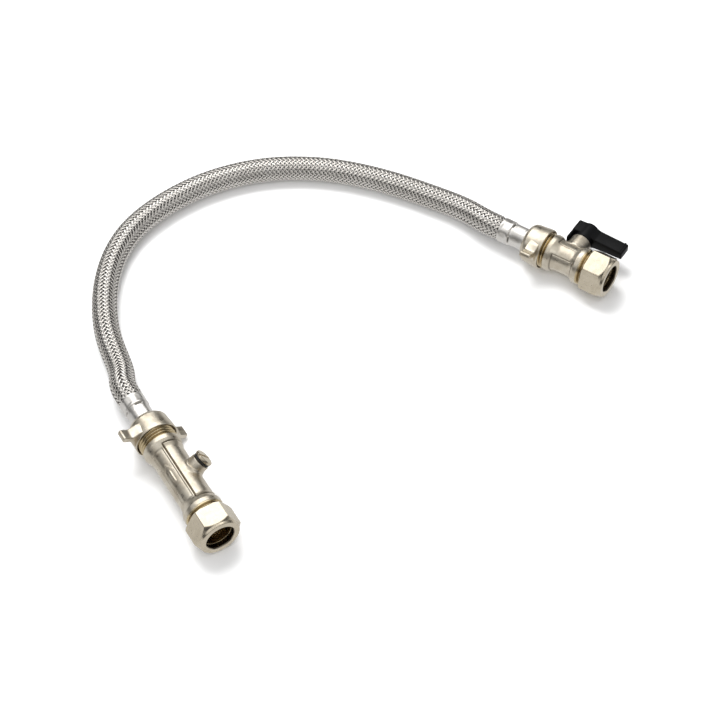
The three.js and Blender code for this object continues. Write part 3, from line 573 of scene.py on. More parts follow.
def turned(name, rows, place, body, materials, sides=128, shape=None, slots=None, sharp=35):
    """A closed ring of (radius, y) rows turned about Y. shape(angle, radius, y) gives new radii
    and how much painted shade darkens each point, and slots(radius, y) gives each face its
    material."""
    rows = np.asarray(rows, float)
    angle = 2 * np.pi * np.arange(sides) / sides
    radius = np.repeat(rows[:, :1], sides, axis=1)
    y = np.repeat(rows[:, 1:], sides, axis=1)
    theta = np.repeat(angle[None, :], len(rows), axis=0)
    painted_dark = None
    if shape:
        radius, painted_dark = shape(theta, radius, y)
    points = np.stack([radius * np.cos(theta), y, radius * np.sin(theta)], axis=-1)
    index = np.arange(len(rows) * sides).reshape(len(rows), sides)
    ahead = np.roll(index, -1, axis=1)
    up = np.roll(index, -1, axis=0)
    faces = np.stack([index, ahead, np.roll(ahead, -1, axis=0), up], axis=-1).reshape(-1, 4)
    kinds = None
    if slots:
        middle = (rows + np.roll(rows, -1, axis=0)) / 2
        kinds = np.repeat([slots(r, at_y) for r, at_y in middle], sides)
    made = add_mesh(name, points.reshape(-1, 3), faces, place, body, materials, kinds, sharp)
    if painted_dark is not None:
        # Painted shade: how much each point is darkened, stored for the materials
        layer = made.data.attributes.new("painted_shade", "FLOAT", "POINT")
        level = np.broadcast_to(painted_dark, radius.shape).astype(np.float32)
        layer.data.foreach_set("value", level.ravel())
    return made


def smooth_step(value, edge, width):
    """0 below edge, 1 above it, with a soft change of the given width."""
    t = np.clip((value - edge) / width + 0.5, 0, 1)
    return t * t * (3 - 2 * t)


def soft_min(a, b, blend):
    """The smaller of two values, with a rounded change between them."""
    h = np.clip(0.5 + (b - a) / (2 * blend), 0, 1)
    return b + (a - b) * h - blend * h * (1 - h)


def hexagon(theta, flats, corner):
    """Distance from the axis to a hexagon's side, with its corners eased."""
    sides = np.stack([
        flats / 2 / np.maximum(np.cos(theta - math.radians(30 + 60 * k)), 0.05) for k in range(6)
    ])
    sides = np.sort(sides, axis=0)
    return soft_min(sides[0], sides[1], corner)


def thread_form(theta, y, start, end):
    """How far the thread's flank lies under its crest, fading out at each end."""
    turns = y / THREAD_PITCH + theta / (2 * np.pi)
    groove = (0.5 + 0.5 * np.cos(2 * np.pi * turns)) ** 0.85
    fade = smooth_step(y, start + THREAD_FADE / 2, THREAD_FADE)
    fade *= 1 - smooth_step(y, end - THREAD_FADE / 2, THREAD_FADE)
    return THREAD_DEPTH * groove * fade


def round_gap(angle, centre):
    """The signed angle in degrees from centre, between -180 and 180."""
    return (np.degrees(angle) - centre + 180) % 360 - 180


def patch(theta, y, centre, half_angle, middle, half_length, edge):
    """1 on a patch of a round body, 0 off it, with soft edges, in mm at the body's radius."""
    off = BODY_RADIUS * np.radians(np.abs(round_gap(theta, centre)))
    wide = 1 - smooth_step(off, BODY_RADIUS * math.radians(half_angle), edge)
    long = 1 - smooth_step(np.abs(y - middle), half_length, edge)
    return wide * long


def patch_line(theta, y, centre, half_angle, middle, half_length, width):
    """1 on the outline of a patch and 0 off it."""
    inner = patch(theta, y, centre, half_angle, middle, half_length, width)
    return 4 * inner * (1 - inner)


def band(y, low, high):
    """1 between low and high along the bore, and 0 past them, with soft ends."""
    return smooth_step(y, low, 1.2) * (1 - smooth_step(y, high, 1.2))


def flow_arrow(theta, y, centre):
    """1 on a cast arrow that points with the flow, towards the hose, and 0 off it."""
    off = BODY_RADIUS * np.radians(np.abs(round_gap(theta, centre)))
    barb = ARROW_TIP - ARROW_HEAD
    shaft = 1 - smooth_step(off, ARROW_SHAFT_HALF, ARROW_EDGE)
    shaft *= smooth_step(y, ARROW_TAIL, ARROW_EDGE)
    half = (ARROW_TIP - y) * ARROW_HEAD_HALF / ARROW_HEAD
    head = (1 - smooth_step(off, half, ARROW_EDGE)) * smooth_step(y, barb, ARROW_EDGE)
    return np.where(y < barb, shaft, head)


def boss_foot(theta, radius, y, angle, middle, boss_radius, fillet):
    """The rise of a cast fillet round the foot of a boss that stands on the body."""
    gap = np.radians(round_gap(theta, angle))
    side = radius * np.sin(gap)
    off = np.hypot(side, y - middle)
    facing = np.cos(gap) > 0
    t = np.clip((off - boss_radius) / fillet, 0, 1)
    return np.where(facing, fillet * (1 - np.sqrt(1 - (1 - t) ** 2)), 0)


def body_rows(thread_from, end, flare, bore):
    """A valve body's outline: its outside from the pipe end, then its bore back."""
    collar_to = THREAD_START + COLLAR_LENGTH
    collar_from = thread_from - COLLAR_LENGTH
    near_thread = refined(np.array([
        (SOCKET + SOCKET_CONE, BODY_SETBACK), (THREAD_RADIUS - THREAD_CHAMFER, BODY_SETBACK),
        (THREAD_RADIUS, BODY_SETBACK + THREAD_CHAMFER), (THREAD_RADIUS, THREAD_START),
    ]), THREAD_STEP)
    casting = refined(rounded([
        (THREAD_RADIUS, THREAD_START + 0.02), (COLLAR_RADIUS, THREAD_START + 0.3, 0.2),
        (COLLAR_RADIUS, collar_to, 1.4),
        (BODY_RADIUS, collar_to + flare, 5), (BODY_RADIUS, collar_from - flare, 5),
        (COLLAR_RADIUS, collar_from, 1.4), (COLLAR_RADIUS, thread_from - 0.3, 0.2),
        (THREAD_RADIUS, thread_from - 0.02),
    ], closed=False), CAST_STEP)
    far_thread = refined(np.array([
        (THREAD_RADIUS, thread_from), (THREAD_RADIUS, end - THREAD_CHAMFER),
        (THREAD_RADIUS - THREAD_CHAMFER, end), (bore[0][0], end),
    ]), THREAD_STEP)
    return np.vstack([near_thread, casting, far_thread, np.array(bore, float)])


def socket_rows():
    """The pipe's socket and the cone that the olive sits in, from inside to the mouth."""
    return [
        (SOCKET, SOCKET_DEPTH), (SOCKET, SOCKET_CONE_END),
        (SOCKET + SOCKET_CONE, BODY_SETBACK + 0.01),
    ]


def body_slots(thread_from):
    """Cast metal on the body's outside, and bare brass on its threads and in its bore."""
    def kind(radius, y):
        if radius < BODY_BARE:
            return 1
        if y < THREAD_START + 0.05 or y > thread_from - 0.05:
            return 1
        return 0
    return kind


def check_body():
    """The double check valve's casting: raised pad, sunk panels, threads and test point boss."""
    end = CHECK_UNION + THREAD_IN_UNION
    half_pad = PANEL_LENGTH / 2
    bore = [
        (CHECK_BORE, end), (CHECK_BORE, CHECK_NECK_TO), (CHECK_NECK, CHECK_NECK_TO),
        (CHECK_NECK, CHECK_NECK_FROM), (CHECK_BORE, CHECK_NECK_FROM), (CHECK_BORE, SOCKET_DEPTH),
    ] + socket_rows()

    def shape(theta, radius, y):
        outer = radius > BODY_OUTSIDE
        threads = thread_form(theta, y, BODY_SETBACK + THREAD_CHAMFER, THREAD_START)
        threads += thread_form(theta, y, CHECK_THREAD_FROM, end - 0.3)
        pad = patch(theta, y, TEST_ANGLE, PAD_HALF_ANGLE, CHECK_MIDDLE, half_pad, PAD_EDGE)
        line = patch_line(theta, y, TEST_ANGLE, PAD_LINE_HALF_ANGLE, CHECK_MIDDLE, half_pad + 0.4,
                          PAD_LINE_WIDTH)
        sunk = sum(
            patch(theta, y, TEST_ANGLE + side * PANEL_ANGLE, PANEL_HALF_ANGLE, CHECK_MIDDLE,
                  half_pad - PANEL_INSET, PANEL_EDGE)
            for side in (1, -1)
        )
        foot = boss_foot(theta, radius, y, TEST_ANGLE, CHECK_MIDDLE, TEST_BOSS - 0.1,
                         TEST_BOSS_FILLET)
        arrow = flow_arrow(theta, y, TEST_ANGLE + PANEL_ANGLE)
        change = (PAD_RISE * pad - PAD_LINE_DEPTH * line - PANEL_DEPTH * sunk
                  + ARROW_RISE * arrow + foot)
        # Painted shade: darker along the pad's outline groove, in the thread roots and inside the
        # bore
        painted_dark = np.maximum(line, THREAD_SHADE * (threads / THREAD_DEPTH) ** 2)
        return np.where(outer, radius - threads + change, radius), np.where(outer, painted_dark, BORE_SHADE)

    body = turned("check_valve_casting", body_rows(CHECK_THREAD_FROM, end, CHECK_FLARE, bore),
                  CHECK, "loop", [CAST, BRASS], BODY_SIDES, shape,
                  body_slots(CHECK_THREAD_FROM), 75)
    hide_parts("check_valve_body")
    boss = turned("test_point_boss", rounded([
        (2, 5), (TEST_BOSS + 0.2, 5), (TEST_BOSS, 10.6, 3), (TEST_BOSS, TEST_BOSS_HEIGHT, 0.35),
        (3.6, TEST_BOSS_HEIGHT), (3.6, 10), (2, 9.4),
    ]), CHECK @ at(CHECK_MIDDLE, TEST_ANGLE) @ ALONG_X, "loop", [CAST], BOSS_SIDES)


def isolator_body():
    """The isolating valve's casting: sunk panels, threads and stem boss."""
    end = ISOLATOR_UNION + THREAD_IN_UNION
    bore = [
        (CHAMBER_BORE, end), (CHAMBER_BORE, CHAMBER_START), (BALL_WAY, CHAMBER_START),
        (BALL_WAY, SOCKET_DEPTH),
    ] + socket_rows()

    def shape(theta, radius, y):
        outer = radius > BODY_OUTSIDE
        threads = thread_form(theta, y, BODY_SETBACK + THREAD_CHAMFER, THREAD_START)
        threads += thread_form(theta, y, ISOLATOR_THREAD_FROM, end - 0.3)
        places = [
            (SIDE_PANEL_ANGLE, SIDE_PANEL_HALF_ANGLE), (-SIDE_PANEL_ANGLE, SIDE_PANEL_HALF_ANGLE),
            (180, BACK_PANEL_HALF_ANGLE),
        ]
        size = (STEM_OFFSET, ISOLATOR_PANEL_HALF_LENGTH)
        sunk = sum(patch(theta, y, centre, half, *size, PANEL_EDGE) for centre, half in places)
        line = sum(patch_line(theta, y, centre, half, *size, ISOLATOR_LINE_WIDTH)
                   for centre, half in places)
        foot = boss_foot(theta, radius, y, 0, STEM_OFFSET, STEM_BOSS - 0.1, STEM_BOSS_FILLET)
        change = -PANEL_DEPTH * sunk - ISOLATOR_LINE_DEPTH * line + foot
        # Painted shade: darker along the panels' outline grooves, in the thread roots and inside
        # the bore
        painted_dark = np.maximum(ISOLATOR_LINE_SHADE * line, THREAD_SHADE * (threads / THREAD_DEPTH) ** 2)
        return np.where(outer, radius - threads + change, radius), np.where(outer, painted_dark, BORE_SHADE)

    body = turned("isolating_valve_casting",
                  body_rows(ISOLATOR_THREAD_FROM, end, ISOLATOR_FLARE, bore), ISOLATOR, "loop",
                  [CAST, BRASS], BODY_SIDES, shape, body_slots(ISOLATOR_THREAD_FROM), 75)
    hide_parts("isolating_valve_body")
    boss = turned("stem_boss", rounded([
        (3.3, 7.4), (STEM_BOSS, 7.4), (STEM_BOSS, STEM_BOSS_HEIGHT, 0.7),
        (3.3, STEM_BOSS_HEIGHT, 0.2),
    ]), ISOLATOR @ at(STEM_OFFSET) @ ALONG_X, "loop", [CAST], BOSS_SIDES)


def compression_nut(side, place, body, roll):
    """A hexagonal nut: eased corners, a turned face ring and chamfers that arch over the flats."""
    corner = NUT_FLATS / math.sqrt(3)
    outside = refined(rounded([
        (NUT_HOLE + 0.5, 0), (NUT_FACE - 0.2, 0, 0.5), (NUT_FACE, 1.5, 0.3),
        (corner + 0.2, NUT_CHAMFER), (corner + 0.2, NUT_LENGTH - 0.8),
        (corner - 0.9, NUT_LENGTH, 0.1),
        (THREAD_RADIUS + 0.9, NUT_LENGTH),
    ], closed=False), 0.3)
    bore = rounded([
        (THREAD_RADIUS + 0.9, NUT_LENGTH), (THREAD_RADIUS + THREAD_GAP, NUT_LENGTH - 0.7),
        (THREAD_RADIUS + THREAD_GAP, NUT_OLIVE_SEAT), (9.2, 5), (NUT_HOLE, 2.6),
        (NUT_HOLE, 0.5, 0.2), (NUT_HOLE + 0.5, 0),
    ], closed=False)[1:-1]

    def shape(theta, radius, y):
        outer = radius > NUT_OUTSIDE
        eased = soft_min(radius, hexagon(theta, NUT_FLATS, 0.35), 0.25)
        # Painted shade: darker inside the nut's hole
        painted_dark = np.where((radius < NUT_HOLE + 0.1) & (y > 0.1), NUT_HOLE_SHADE, 0)
        return np.where(outer, eased, radius), painted_dark

    nut = turned(f"{side}_hex_nut", np.vstack([outside, bore]), place @ at(0, roll), body,
                 [TURNED], NUT_SIDES, shape, sharp=28)
    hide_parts(f"{side}_compression_nut")


def olive(side, place, body):
    """The brass ring that seals on the pipe, its ends tapered."""
    ring = turned(f"{side}_brass_olive", rounded([
        (SOCKET, OLIVE_START, 0.2), (OLIVE_END_RADIUS, OLIVE_START, 0.2),
        (OLIVE_RADIUS, OLIVE_START + 1.4, 1), (OLIVE_RADIUS, OLIVE_END - 1.4, 1),
        (OLIVE_END_RADIUS, OLIVE_END, 0.2), (SOCKET, OLIVE_END, 0.2),
    ]), place, body, [BRASS])
    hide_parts(f"{side}_olive")


def applied(obj, *modifiers):
    """The object with these modifiers made part of its mesh."""
    for kind, settings in modifiers:
        modifier = obj.modifiers.new(kind.lower(), kind)
        for setting, value in settings.items():
            setattr(modifier, setting, value)
    made = bpy.data.meshes.new_from_object(
        obj.evaluated_get(bpy.context.evaluated_depsgraph_get()))
    old = obj.data
    obj.modifiers.clear()
    obj.data = made
    made.name = old.name
    bpy.data.meshes.remove(old)
    return obj


def bevelled(obj, width, segments):
    """The object with its sharp edges rounded, and its faces shaded smooth between the rest."""
    applied(obj, ("BEVEL", {
        "width": width, "segments": segments, "limit_method": "ANGLE",
        "angle_limit": math.radians(40),
    }))
    obj.data.polygons.foreach_set("use_smooth", np.ones(len(obj.data.polygons), bool))
    obj.data.set_sharp_from_angle(angle=math.radians(35))
    return obj


def prism(name, outline, low, high, place, body, materials, axis=1):
    """An outline of (a, b) points drawn out from low to high along an axis."""
    count = len(outline)
    others = [k for k in range(3) if k != axis]
    points = np.zeros((2 * count, 3))
    for layer, level in enumerate((low, high)):
        rows = slice(layer * count, (layer + 1) * count)
        points[rows, others[0]] = outline[:, 0]
        points[rows, others[1]] = outline[:, 1]
        points[rows, axis] = level
    faces = [[k, (k + 1) % count, count + (k + 1) % count, count + k] for k in range(count)]
    faces += [list(range(count))[::-1], list(range(count, 2 * count))]
    return add_mesh(name, points, faces, place, body, materials)


def wing_nut(side, place, body, wing_angle):
    """A cast union nut: a ring with a rounded shoulder and two ears that grow out of it."""
    thread = THREAD_RADIUS + THREAD_GAP
    rows = refined(rounded([
        (thread + 0.62, 0, 0.12), (UNION_RADIUS, 0, 0.35), (UNION_RADIUS, 2.4, 1.5),
        (11.3, 10.6, 1.6), (9.8, UNION_NUT_LENGTH, 1.0), (UNION_NUT_HOLE, UNION_NUT_LENGTH, 0.3),
        (UNION_NUT_HOLE, UNION_NUT_FLOOR), (thread, UNION_NUT_FLOOR), (thread, 2.8),
        (thread + 0.5, 2.3),
    ], 6), 0.5)
    nut = turned(f"{side}_winged_nut", rows, place @ at(0, wing_angle), body, [CAST],
                 WING_NUT_SIDES)
    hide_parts(f"{side}_wing_nut")
    root = EAR_ROOT * np.stack([
        np.cos(np.radians(EAR_ROOT_ANGLES)), np.sin(np.radians(EAR_ROOT_ANGLES)),
    ], axis=-1)
    ear = rounded([
        root[-1], (12.1, -4.6, 2.5), (15, -EAR_HALF - 0.1, 3.2),
        (EAR_REACH, -EAR_HALF - 0.25, 1.1), (EAR_REACH, EAR_HALF + 0.25, 1.1),
        (15, EAR_HALF + 0.1, 3.2), (12.1, 4.6, 2.5), *root[:-1],
    ], 8)
    for name, flip in (("first", 0), ("second", 180)):
        made = prism(f"{side}_{name}_ear", ear, EAR_LOW, EAR_HIGH,
                     place @ at(0, wing_angle + flip), body, [CAST])
        bevelled(made, EAR_BEVEL * MM, 4)


def ferrule(side, place):
    """A pressed ferrule: a plain neck, a wider collar over the braid, and the press's dents,
    darkened with painted shade.
    """
    def shape(theta, radius, y):
        outer = radius > FERRULE_OUTSIDE
        lobe = np.clip(np.cos(FERRULE_DENTS * theta + 0.6) * 1.7 - 0.2, 0, 1)
        ring = np.exp(-((y - FERRULE_STEP + 0.35) / FERRULE_DENT_WIDTH) ** 2)
        dent = FERRULE_DENT_DEPTH * lobe * ring
        crimp = FERRULE_CRIMP_DEPTH * (1 - np.cos(FERRULE_CRIMPS * theta))
        crimp = crimp * band(y, FERRULE_STEP + 1.6, FERRULE_END - 1)
        flats = FERRULE_FLAT_DEPTH * (1 - np.cos(FERRULE_FLATS * theta))
        flats = flats * band(y, 14.5, FERRULE_STEP - 2)
        # Painted shade: darker in the press's dents
        return np.where(outer, radius - dent - crimp - flats, radius), np.where(outer, dent, 0)

    rows = np.vstack([refined(rounded([
        (5, UNION_NUT_FLOOR), (FERRULE_NECK, UNION_NUT_FLOOR, 0.5),
        (FERRULE_NECK, FERRULE_STEP - 0.1, 0.3),
        (FERRULE_COLLAR, FERRULE_STEP + 0.35, 0.35), (FERRULE_COLLAR, FERRULE_END + 0.5, 0.35),
        (6.75, FERRULE_END + 0.5, 0.1),
    ], closed=False), 0.22), [(6.5, FERRULE_END), (6.4, FERRULE_STEP + 0.4),
                              (5.9, FERRULE_STEP), (5.9, 11.1), (5, 11.1)]])
    made = turned(f"{side}_pressed_ferrule", rows, place, "loop", [STEEL], FERRULE_SIDES,
                  shape)
    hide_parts(f"{side}_ferrule")


def test_point():
    """The plug in the test point, its slot cut across the dome, and the O-ring under it."""
    place = CHECK @ at(CHECK_MIDDLE, TEST_ANGLE) @ ALONG_X
    plug = turned("slotted_test_plug", refined(rounded([
        (0.02, PLUG_FOOT), (PLUG_SHANK, PLUG_FOOT, 0.3), (PLUG_SHANK, PLUG_SEAT),
        (PLUG_HEAD, PLUG_SEAT, 0.2), (PLUG_HEAD, PLUG_TOP - 0.75, 0.3),
        (PLUG_HEAD - 0.55, PLUG_TOP - 0.35, 0.5), (0.02, PLUG_TOP),
    ]), 0.5), Matrix(), None, [TURNED], BOSS_SIDES)
    slot = box_piece("plug_slot", (-PLUG_SLOT_WIDTH / 2, PLUG_TOP - PLUG_SLOT_DEPTH, -9),
                     (PLUG_SLOT_WIDTH / 2, PLUG_TOP + 2, 9))
    combined(plug, slot, "DIFFERENCE")
    finished(plug, place, "test_plug")
    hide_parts("test_plug")
    angle = np.linspace(0, 2 * np.pi, 24, endpoint=False)
    section = np.stack([PLUG_RING + PLUG_RING_SECTION * np.cos(angle),
                        PLUG_RING_PLACE + PLUG_RING_SECTION * np.sin(angle)], axis=-1)
    ring = turned("test_point_o_ring", section, place, "test_ring", [RUBBER],
                  BOSS_SIDES)
    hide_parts("test_plug_o_ring")


def box_piece(name, low, high):
    """A box between two corners, to cut with."""
    outline = np.array([
        (low[0], low[2]), (high[0], low[2]), (high[0], high[2]), (low[0], high[2]),
    ])
    return prism(name, outline, low[1], high[1], Matrix(), None, [])


def combined(obj, other, operation):
    """The object with another solid added or cut away, and the other one gone."""
    bpy.context.view_layer.update()
    applied(obj, ("BOOLEAN", {"object": other, "operation": operation, "solver": "EXACT"}))
    mesh = other.data
    bpy.data.objects.remove(other)
    bpy.data.meshes.remove(mesh)
    return obj


def finished(obj, place, body):
    """Moves a piece made round the valve's axis to its place, and shades and rides it."""
    obj.data.transform(place)
    obj.data.polygons.foreach_set("use_smooth", np.ones(len(obj.data.polygons), bool))
    obj.data.set_sharp_from_angle(angle=math.radians(32))
    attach(obj, body)


def lever():
    """The black lever: a hub, a tapered grip with a rib near its tip, and a lug on its heel."""
    grip_outline = rounded([
        (LUG_END, -LEVER_HEEL_HALF, 1), (LUG_END, LEVER_HEEL_HALF, 1),
        (-1.5, LEVER_HEEL_HALF + 0.3, 2), (-6.8, LEVER_TAIL_HALF + 0.1, 3),
        (-LEVER_REACH, LEVER_TIP_HALF, 0.8), (-LEVER_REACH, -LEVER_TIP_HALF, 0.8),
        (-6.8, -LEVER_TAIL_HALF - 0.1, 3), (-1.5, -LEVER_HEEL_HALF - 0.3, 2),
    ], 6)
    grip = prism("lever_grip", grip_outline, LEVER_GRIP_INNER, LEVER_GRIP_OUTER, Matrix(), None,
                 [LEVER], axis=0)
    bevelled(grip, 0.7, 4)
    hub = turned("lever_hub", rounded([
        (0.02, LEVER_NEAR), (LEVER_HUB, LEVER_NEAR, 0.5), (LEVER_HUB, LEVER_OUTER, 0.6),
        (0.02, LEVER_OUTER),
    ]), ALONG_X, None, [LEVER], BOSS_SIDES)
    lug = prism("lever_lug", rounded([
        (LUG_START, -LUG_HALF, 0.3), (LUG_END, -LUG_HALF, 0.5), (LUG_END, LUG_HALF, 0.5),
        (LUG_START, LUG_HALF, 0.3),
    ]), LUG_INNER, LEVER_GRIP_OUTER - 0.2, Matrix(), None, [LEVER], axis=0)
    bevelled(lug, 0.3, 2)
    near, far, half = -LEVER_REACH + 2.5, -LEVER_REACH + 1.6, LEVER_TIP_HALF + LEVER_RIB_RISE
    rib = prism("lever_rib", rounded([
        (far, -half, 0.3), (near, -half, 0.3), (near, half, 0.3), (far, half, 0.3),
    ]), LEVER_GRIP_INNER + 0.4, LEVER_GRIP_OUTER + LEVER_RIB_RISE, Matrix(), None, [LEVER], axis=0)
    bevelled(rib, 0.2, 2)
    pocket = turned("lever_pocket", [
        (0.02, POCKET_FLOOR), (POCKET_RADIUS, POCKET_FLOOR), (POCKET_RADIUS, LEVER_OUTER + 2),
        (0.02, LEVER_OUTER + 2),
    ], ALONG_X, None, [LEVER], 64)
    for other, operation in ((grip, "UNION"), (lug, "UNION"), (rib, "UNION"),
                             (pocket, "DIFFERENCE")):
        combined(hub, other, operation)
    hub.name = "lever_moulding"
    finished(hub, ISOLATOR @ at(STEM_OFFSET), "lever")
    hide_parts("lever_handle")
    screw = turned("cross_slot_screw", refined(rounded([
        (0.02, SCREW_SEAT - 6), (1, SCREW_SEAT - 6), (1, SCREW_SEAT), (SCREW_HEAD, SCREW_SEAT, 0.1),
        (SCREW_HEAD, SCREW_TOP - 0.5, 0.5), (0.02, SCREW_TOP),
    ]), 0.4), Matrix(), None, [STEEL], 48)
    for wide, long in ((0.3, 1.4), (1.4, 0.3)):
        combined(screw, box_piece("screw_slot", (-wide, SCREW_TOP - 0.8, -long),
                                  (wide, SCREW_TOP + 1, long)), "DIFFERENCE")
    finished(screw, ISOLATOR @ at(STEM_OFFSET) @ ALONG_X, "lever")
    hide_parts("lever_screw")


# The hose
def catmull(points, count):
    """Points along a centripetal Catmull-Rom curve, as the CAD draws it, evenly spaced."""
    points = np.array(points, float)
    points = np.vstack([2 * points[0] - points[1], points, 2 * points[-1] - points[-2]])
    dense = []
    for p0, p1, p2, p3 in zip(points[:-3], points[1:-2], points[2:-1], points[3:]):
        knots = [0]
        for a, b in ((p0, p1), (p1, p2), (p2, p3)):
            knots.append(knots[-1] + max(np.linalg.norm(b - a), 1e-6) ** 0.5)
        t0, t1, t2, t3 = knots
        for t in np.linspace(t1, t2, 40, endpoint=False):
            a1 = (t1 - t) / (t1 - t0) * p0 + (t - t0) / (t1 - t0) * p1
            a2 = (t2 - t) / (t2 - t1) * p1 + (t - t1) / (t2 - t1) * p2
            a3 = (t3 - t) / (t3 - t2) * p2 + (t - t2) / (t3 - t2) * p3
            b1 = (t2 - t) / (t2 - t0) * a1 + (t - t0) / (t2 - t0) * a2
            b2 = (t3 - t) / (t3 - t1) * a2 + (t - t1) / (t3 - t1) * a3
            dense.append((t2 - t) / (t2 - t1) * b1 + (t - t1) / (t2 - t1) * b2)
    dense.append(points[-2])
    line, _ = evenly(np.array(dense), HOSE_STEPS)
    return evenly(eased(line), count)


def evenly(line, count):
    """The line again with its points evenly spaced, and its length."""
    run = np.concatenate([[0], np.cumsum(np.linalg.norm(np.diff(line, axis=0), axis=1))])
    even = np.linspace(0, run[-1], count)
    return np.stack([np.interp(even, run, line[:, k]) for k in range(3)], axis=1), run[-1]


def eased(line):
    """The line with its tight bends opened a little, as a stiff hose does, its ends kept."""
    step = np.linalg.norm(line[1] - line[0])
    reach = int(3 * HOSE_EASE / step)
    weight = np.exp(-0.5 * (np.arange(-reach, reach + 1) * step / HOSE_EASE) ** 2)
    weight /= weight.sum()
    before = 2 * line[0] - line[reach:0:-1]
    after = 2 * line[-1] - line[-2:-reach - 2:-1]
    longer = np.vstack([before, line, after])
    return np.stack([np.convolve(longer[:, k], weight, "valid") for k in range(3)], axis=1)


def mouth(place, union):
    """The hose's first points, straight out of a valve's ferrule."""
    return [
        np.array(place @ Vector((0, union + FERRULE_END + HOSE_GAP + further, 0))) / MM
        for further in MOUTH_POINTS
    ]


def hose_line(count):
    """Points in millimetres from one ferrule's mouth to the other's, and the line's length."""
    middle = [np.array(point) + np.array(SHIFT) for point in HOSE_ROUTE]
    return catmull([*mouth(CHECK, CHECK_UNION), *middle, *mouth(ISOLATOR, ISOLATOR_UNION)[::-1]],
                   count)


def frames(line):
    """Tangents and two crosswise directions along a line that lies nearly flat."""
    tangent = np.gradient(line, axis=0)
    tangent /= np.linalg.norm(tangent, axis=1)[:, None]
    across = np.cross(tangent, np.array((0, 0, 1.0)))
    across /= np.linalg.norm(across, axis=1)[:, None]
    return tangent, across, np.cross(across, tangent)


def throat(run, length):
    """How far the braid draws in at each end, to pass under the ferrule's lip."""
    near = np.minimum(run, length - run)
    return THROAT_DEPTH * (1 - smooth_step(near, 1.6, 2.6))


def ribbons(name, turn, line_length):
    """One family of braid ribbons, wound one way, over two and under two of the other."""
    lead = 2 * math.pi * HOSE_RADIUS / math.tan(math.radians(BRAID_ANGLE))
    crossing = lead / (2 * CARRIERS)
    count = int(line_length / crossing * WEAVE_STEPS)
    line, _ = hose_line(count)
    _, across, up = frames(line)
    run = np.linspace(0, line_length, count)
    slant = RIBBON_WIDTH / HOSE_RADIUS / math.cos(math.radians(BRAID_ANGLE))
    section = ((-0.5, -RIBBON_ARCH), (-0.3, 0), (0.3, 0), (0.5, -RIBBON_ARCH))
    corners = len(section)
    points, faces = [], []
    for k in range(CARRIERS):
        angle = turn * 2 * math.pi * run / lead + 2 * math.pi * k / CARRIERS
        wave = np.cos(math.pi / 2 * (run / crossing + turn * (2 * k - 0.5)))
        wave = np.clip(wave * 1.5, -1, 1)
        level = HOSE_RADIUS - 0.04 - BRAID_DEPTH * (1 - turn * wave) - throat(run, line_length)
        ring = []
        for column, drop in section:
            around = angle - column * slant
            ring.append(line + (across * np.cos(around)[:, None] + up * np.sin(around)[:, None])
                        * (level + drop)[:, None])
        points.append(np.stack(ring, axis=1).reshape(-1, 3))
        index = k * count * corners + np.arange(count * corners).reshape(count, corners)
        ahead = np.roll(index, -1, axis=1)
        sides = np.stack([index[:-1], ahead[:-1], ahead[1:], index[1:]], -1)
        faces += sides.reshape(-1, 4).tolist()
        faces += [index[0][::-1].tolist(), index[-1].tolist()]
    obj = add_mesh(name, np.concatenate(points), faces, SCALE, "loop", [WIRE], sharp=60)
    layer = obj.data.uv_layers.new(name="across")
    corner = np.zeros(len(obj.data.loops), np.int32)
    obj.data.loops.foreach_get("vertex_index", corner)
    marks = np.zeros((len(corner), 2), np.float32)
    marks[:, 0] = np.array([column + 0.5 for column, _ in section])[corner % corners]
    layer.data.foreach_set("uv", marks.ravel())
    return obj


def hose():
    """The black liner and both families of the braid over it."""
    _, length = hose_line(400)
    line, _ = hose_line(LINER_STEPS)
    _, across, up = frames(line)
    angle = 2 * np.pi * np.arange(LINER_SIDES) / LINER_SIDES
    ring = across[:, None, :] * np.cos(angle)[:, None] + up[:, None, :] * np.sin(angle)[:, None]
    inner = HOSE_RADIUS - LINER_DEPTH - throat(np.linspace(0, length, LINER_STEPS), length)
    points = (line[:, None, :] + ring * inner[:, None, None]).reshape(-1, 3)
    index = np.arange(LINER_STEPS * LINER_SIDES).reshape(LINER_STEPS, LINER_SIDES)
    ahead = np.roll(index, -1, axis=1)
    faces = np.stack([index[:-1], ahead[:-1], ahead[1:], index[1:]], -1).reshape(-1, 4)
    faces = [list(face) for face in faces]
    faces += [list(index[0])[::-1], list(index[-1])]
    liner = add_mesh("hose_liner", points, faces, SCALE, "loop", [RUBBER], sharp=60)
    right = ribbons("braid_right_hand", 1, length)
    left = ribbons("braid_left_hand", -1, length)
    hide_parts("braided_hose")
    path = [tuple(p * MM) for p in hose_line(200)[0]]


hose()
check_body()
isolator_body()
compression_nut("check_side", CHECK, "check_nut", 0)
compression_nut("lever_side", ISOLATOR, "lever_nut", ISOLATOR_NUT_ROLL)
olive("check_side", CHECK, "check_olive")
olive("lever_side", ISOLATOR, "lever_olive")
wing_nut("check_side", CHECK @ at(CHECK_UNION), "check_wing", CHECK_EAR_ANGLE)
wing_nut("lever_side", ISOLATOR @ at(ISOLATOR_UNION), "lever_wing", LEVER_EAR_ANGLE)
ferrule("check_side", CHECK @ at(CHECK_UNION))
ferrule("lever_side", ISOLATOR @ at(ISOLATOR_UNION))
test_point()
lever()

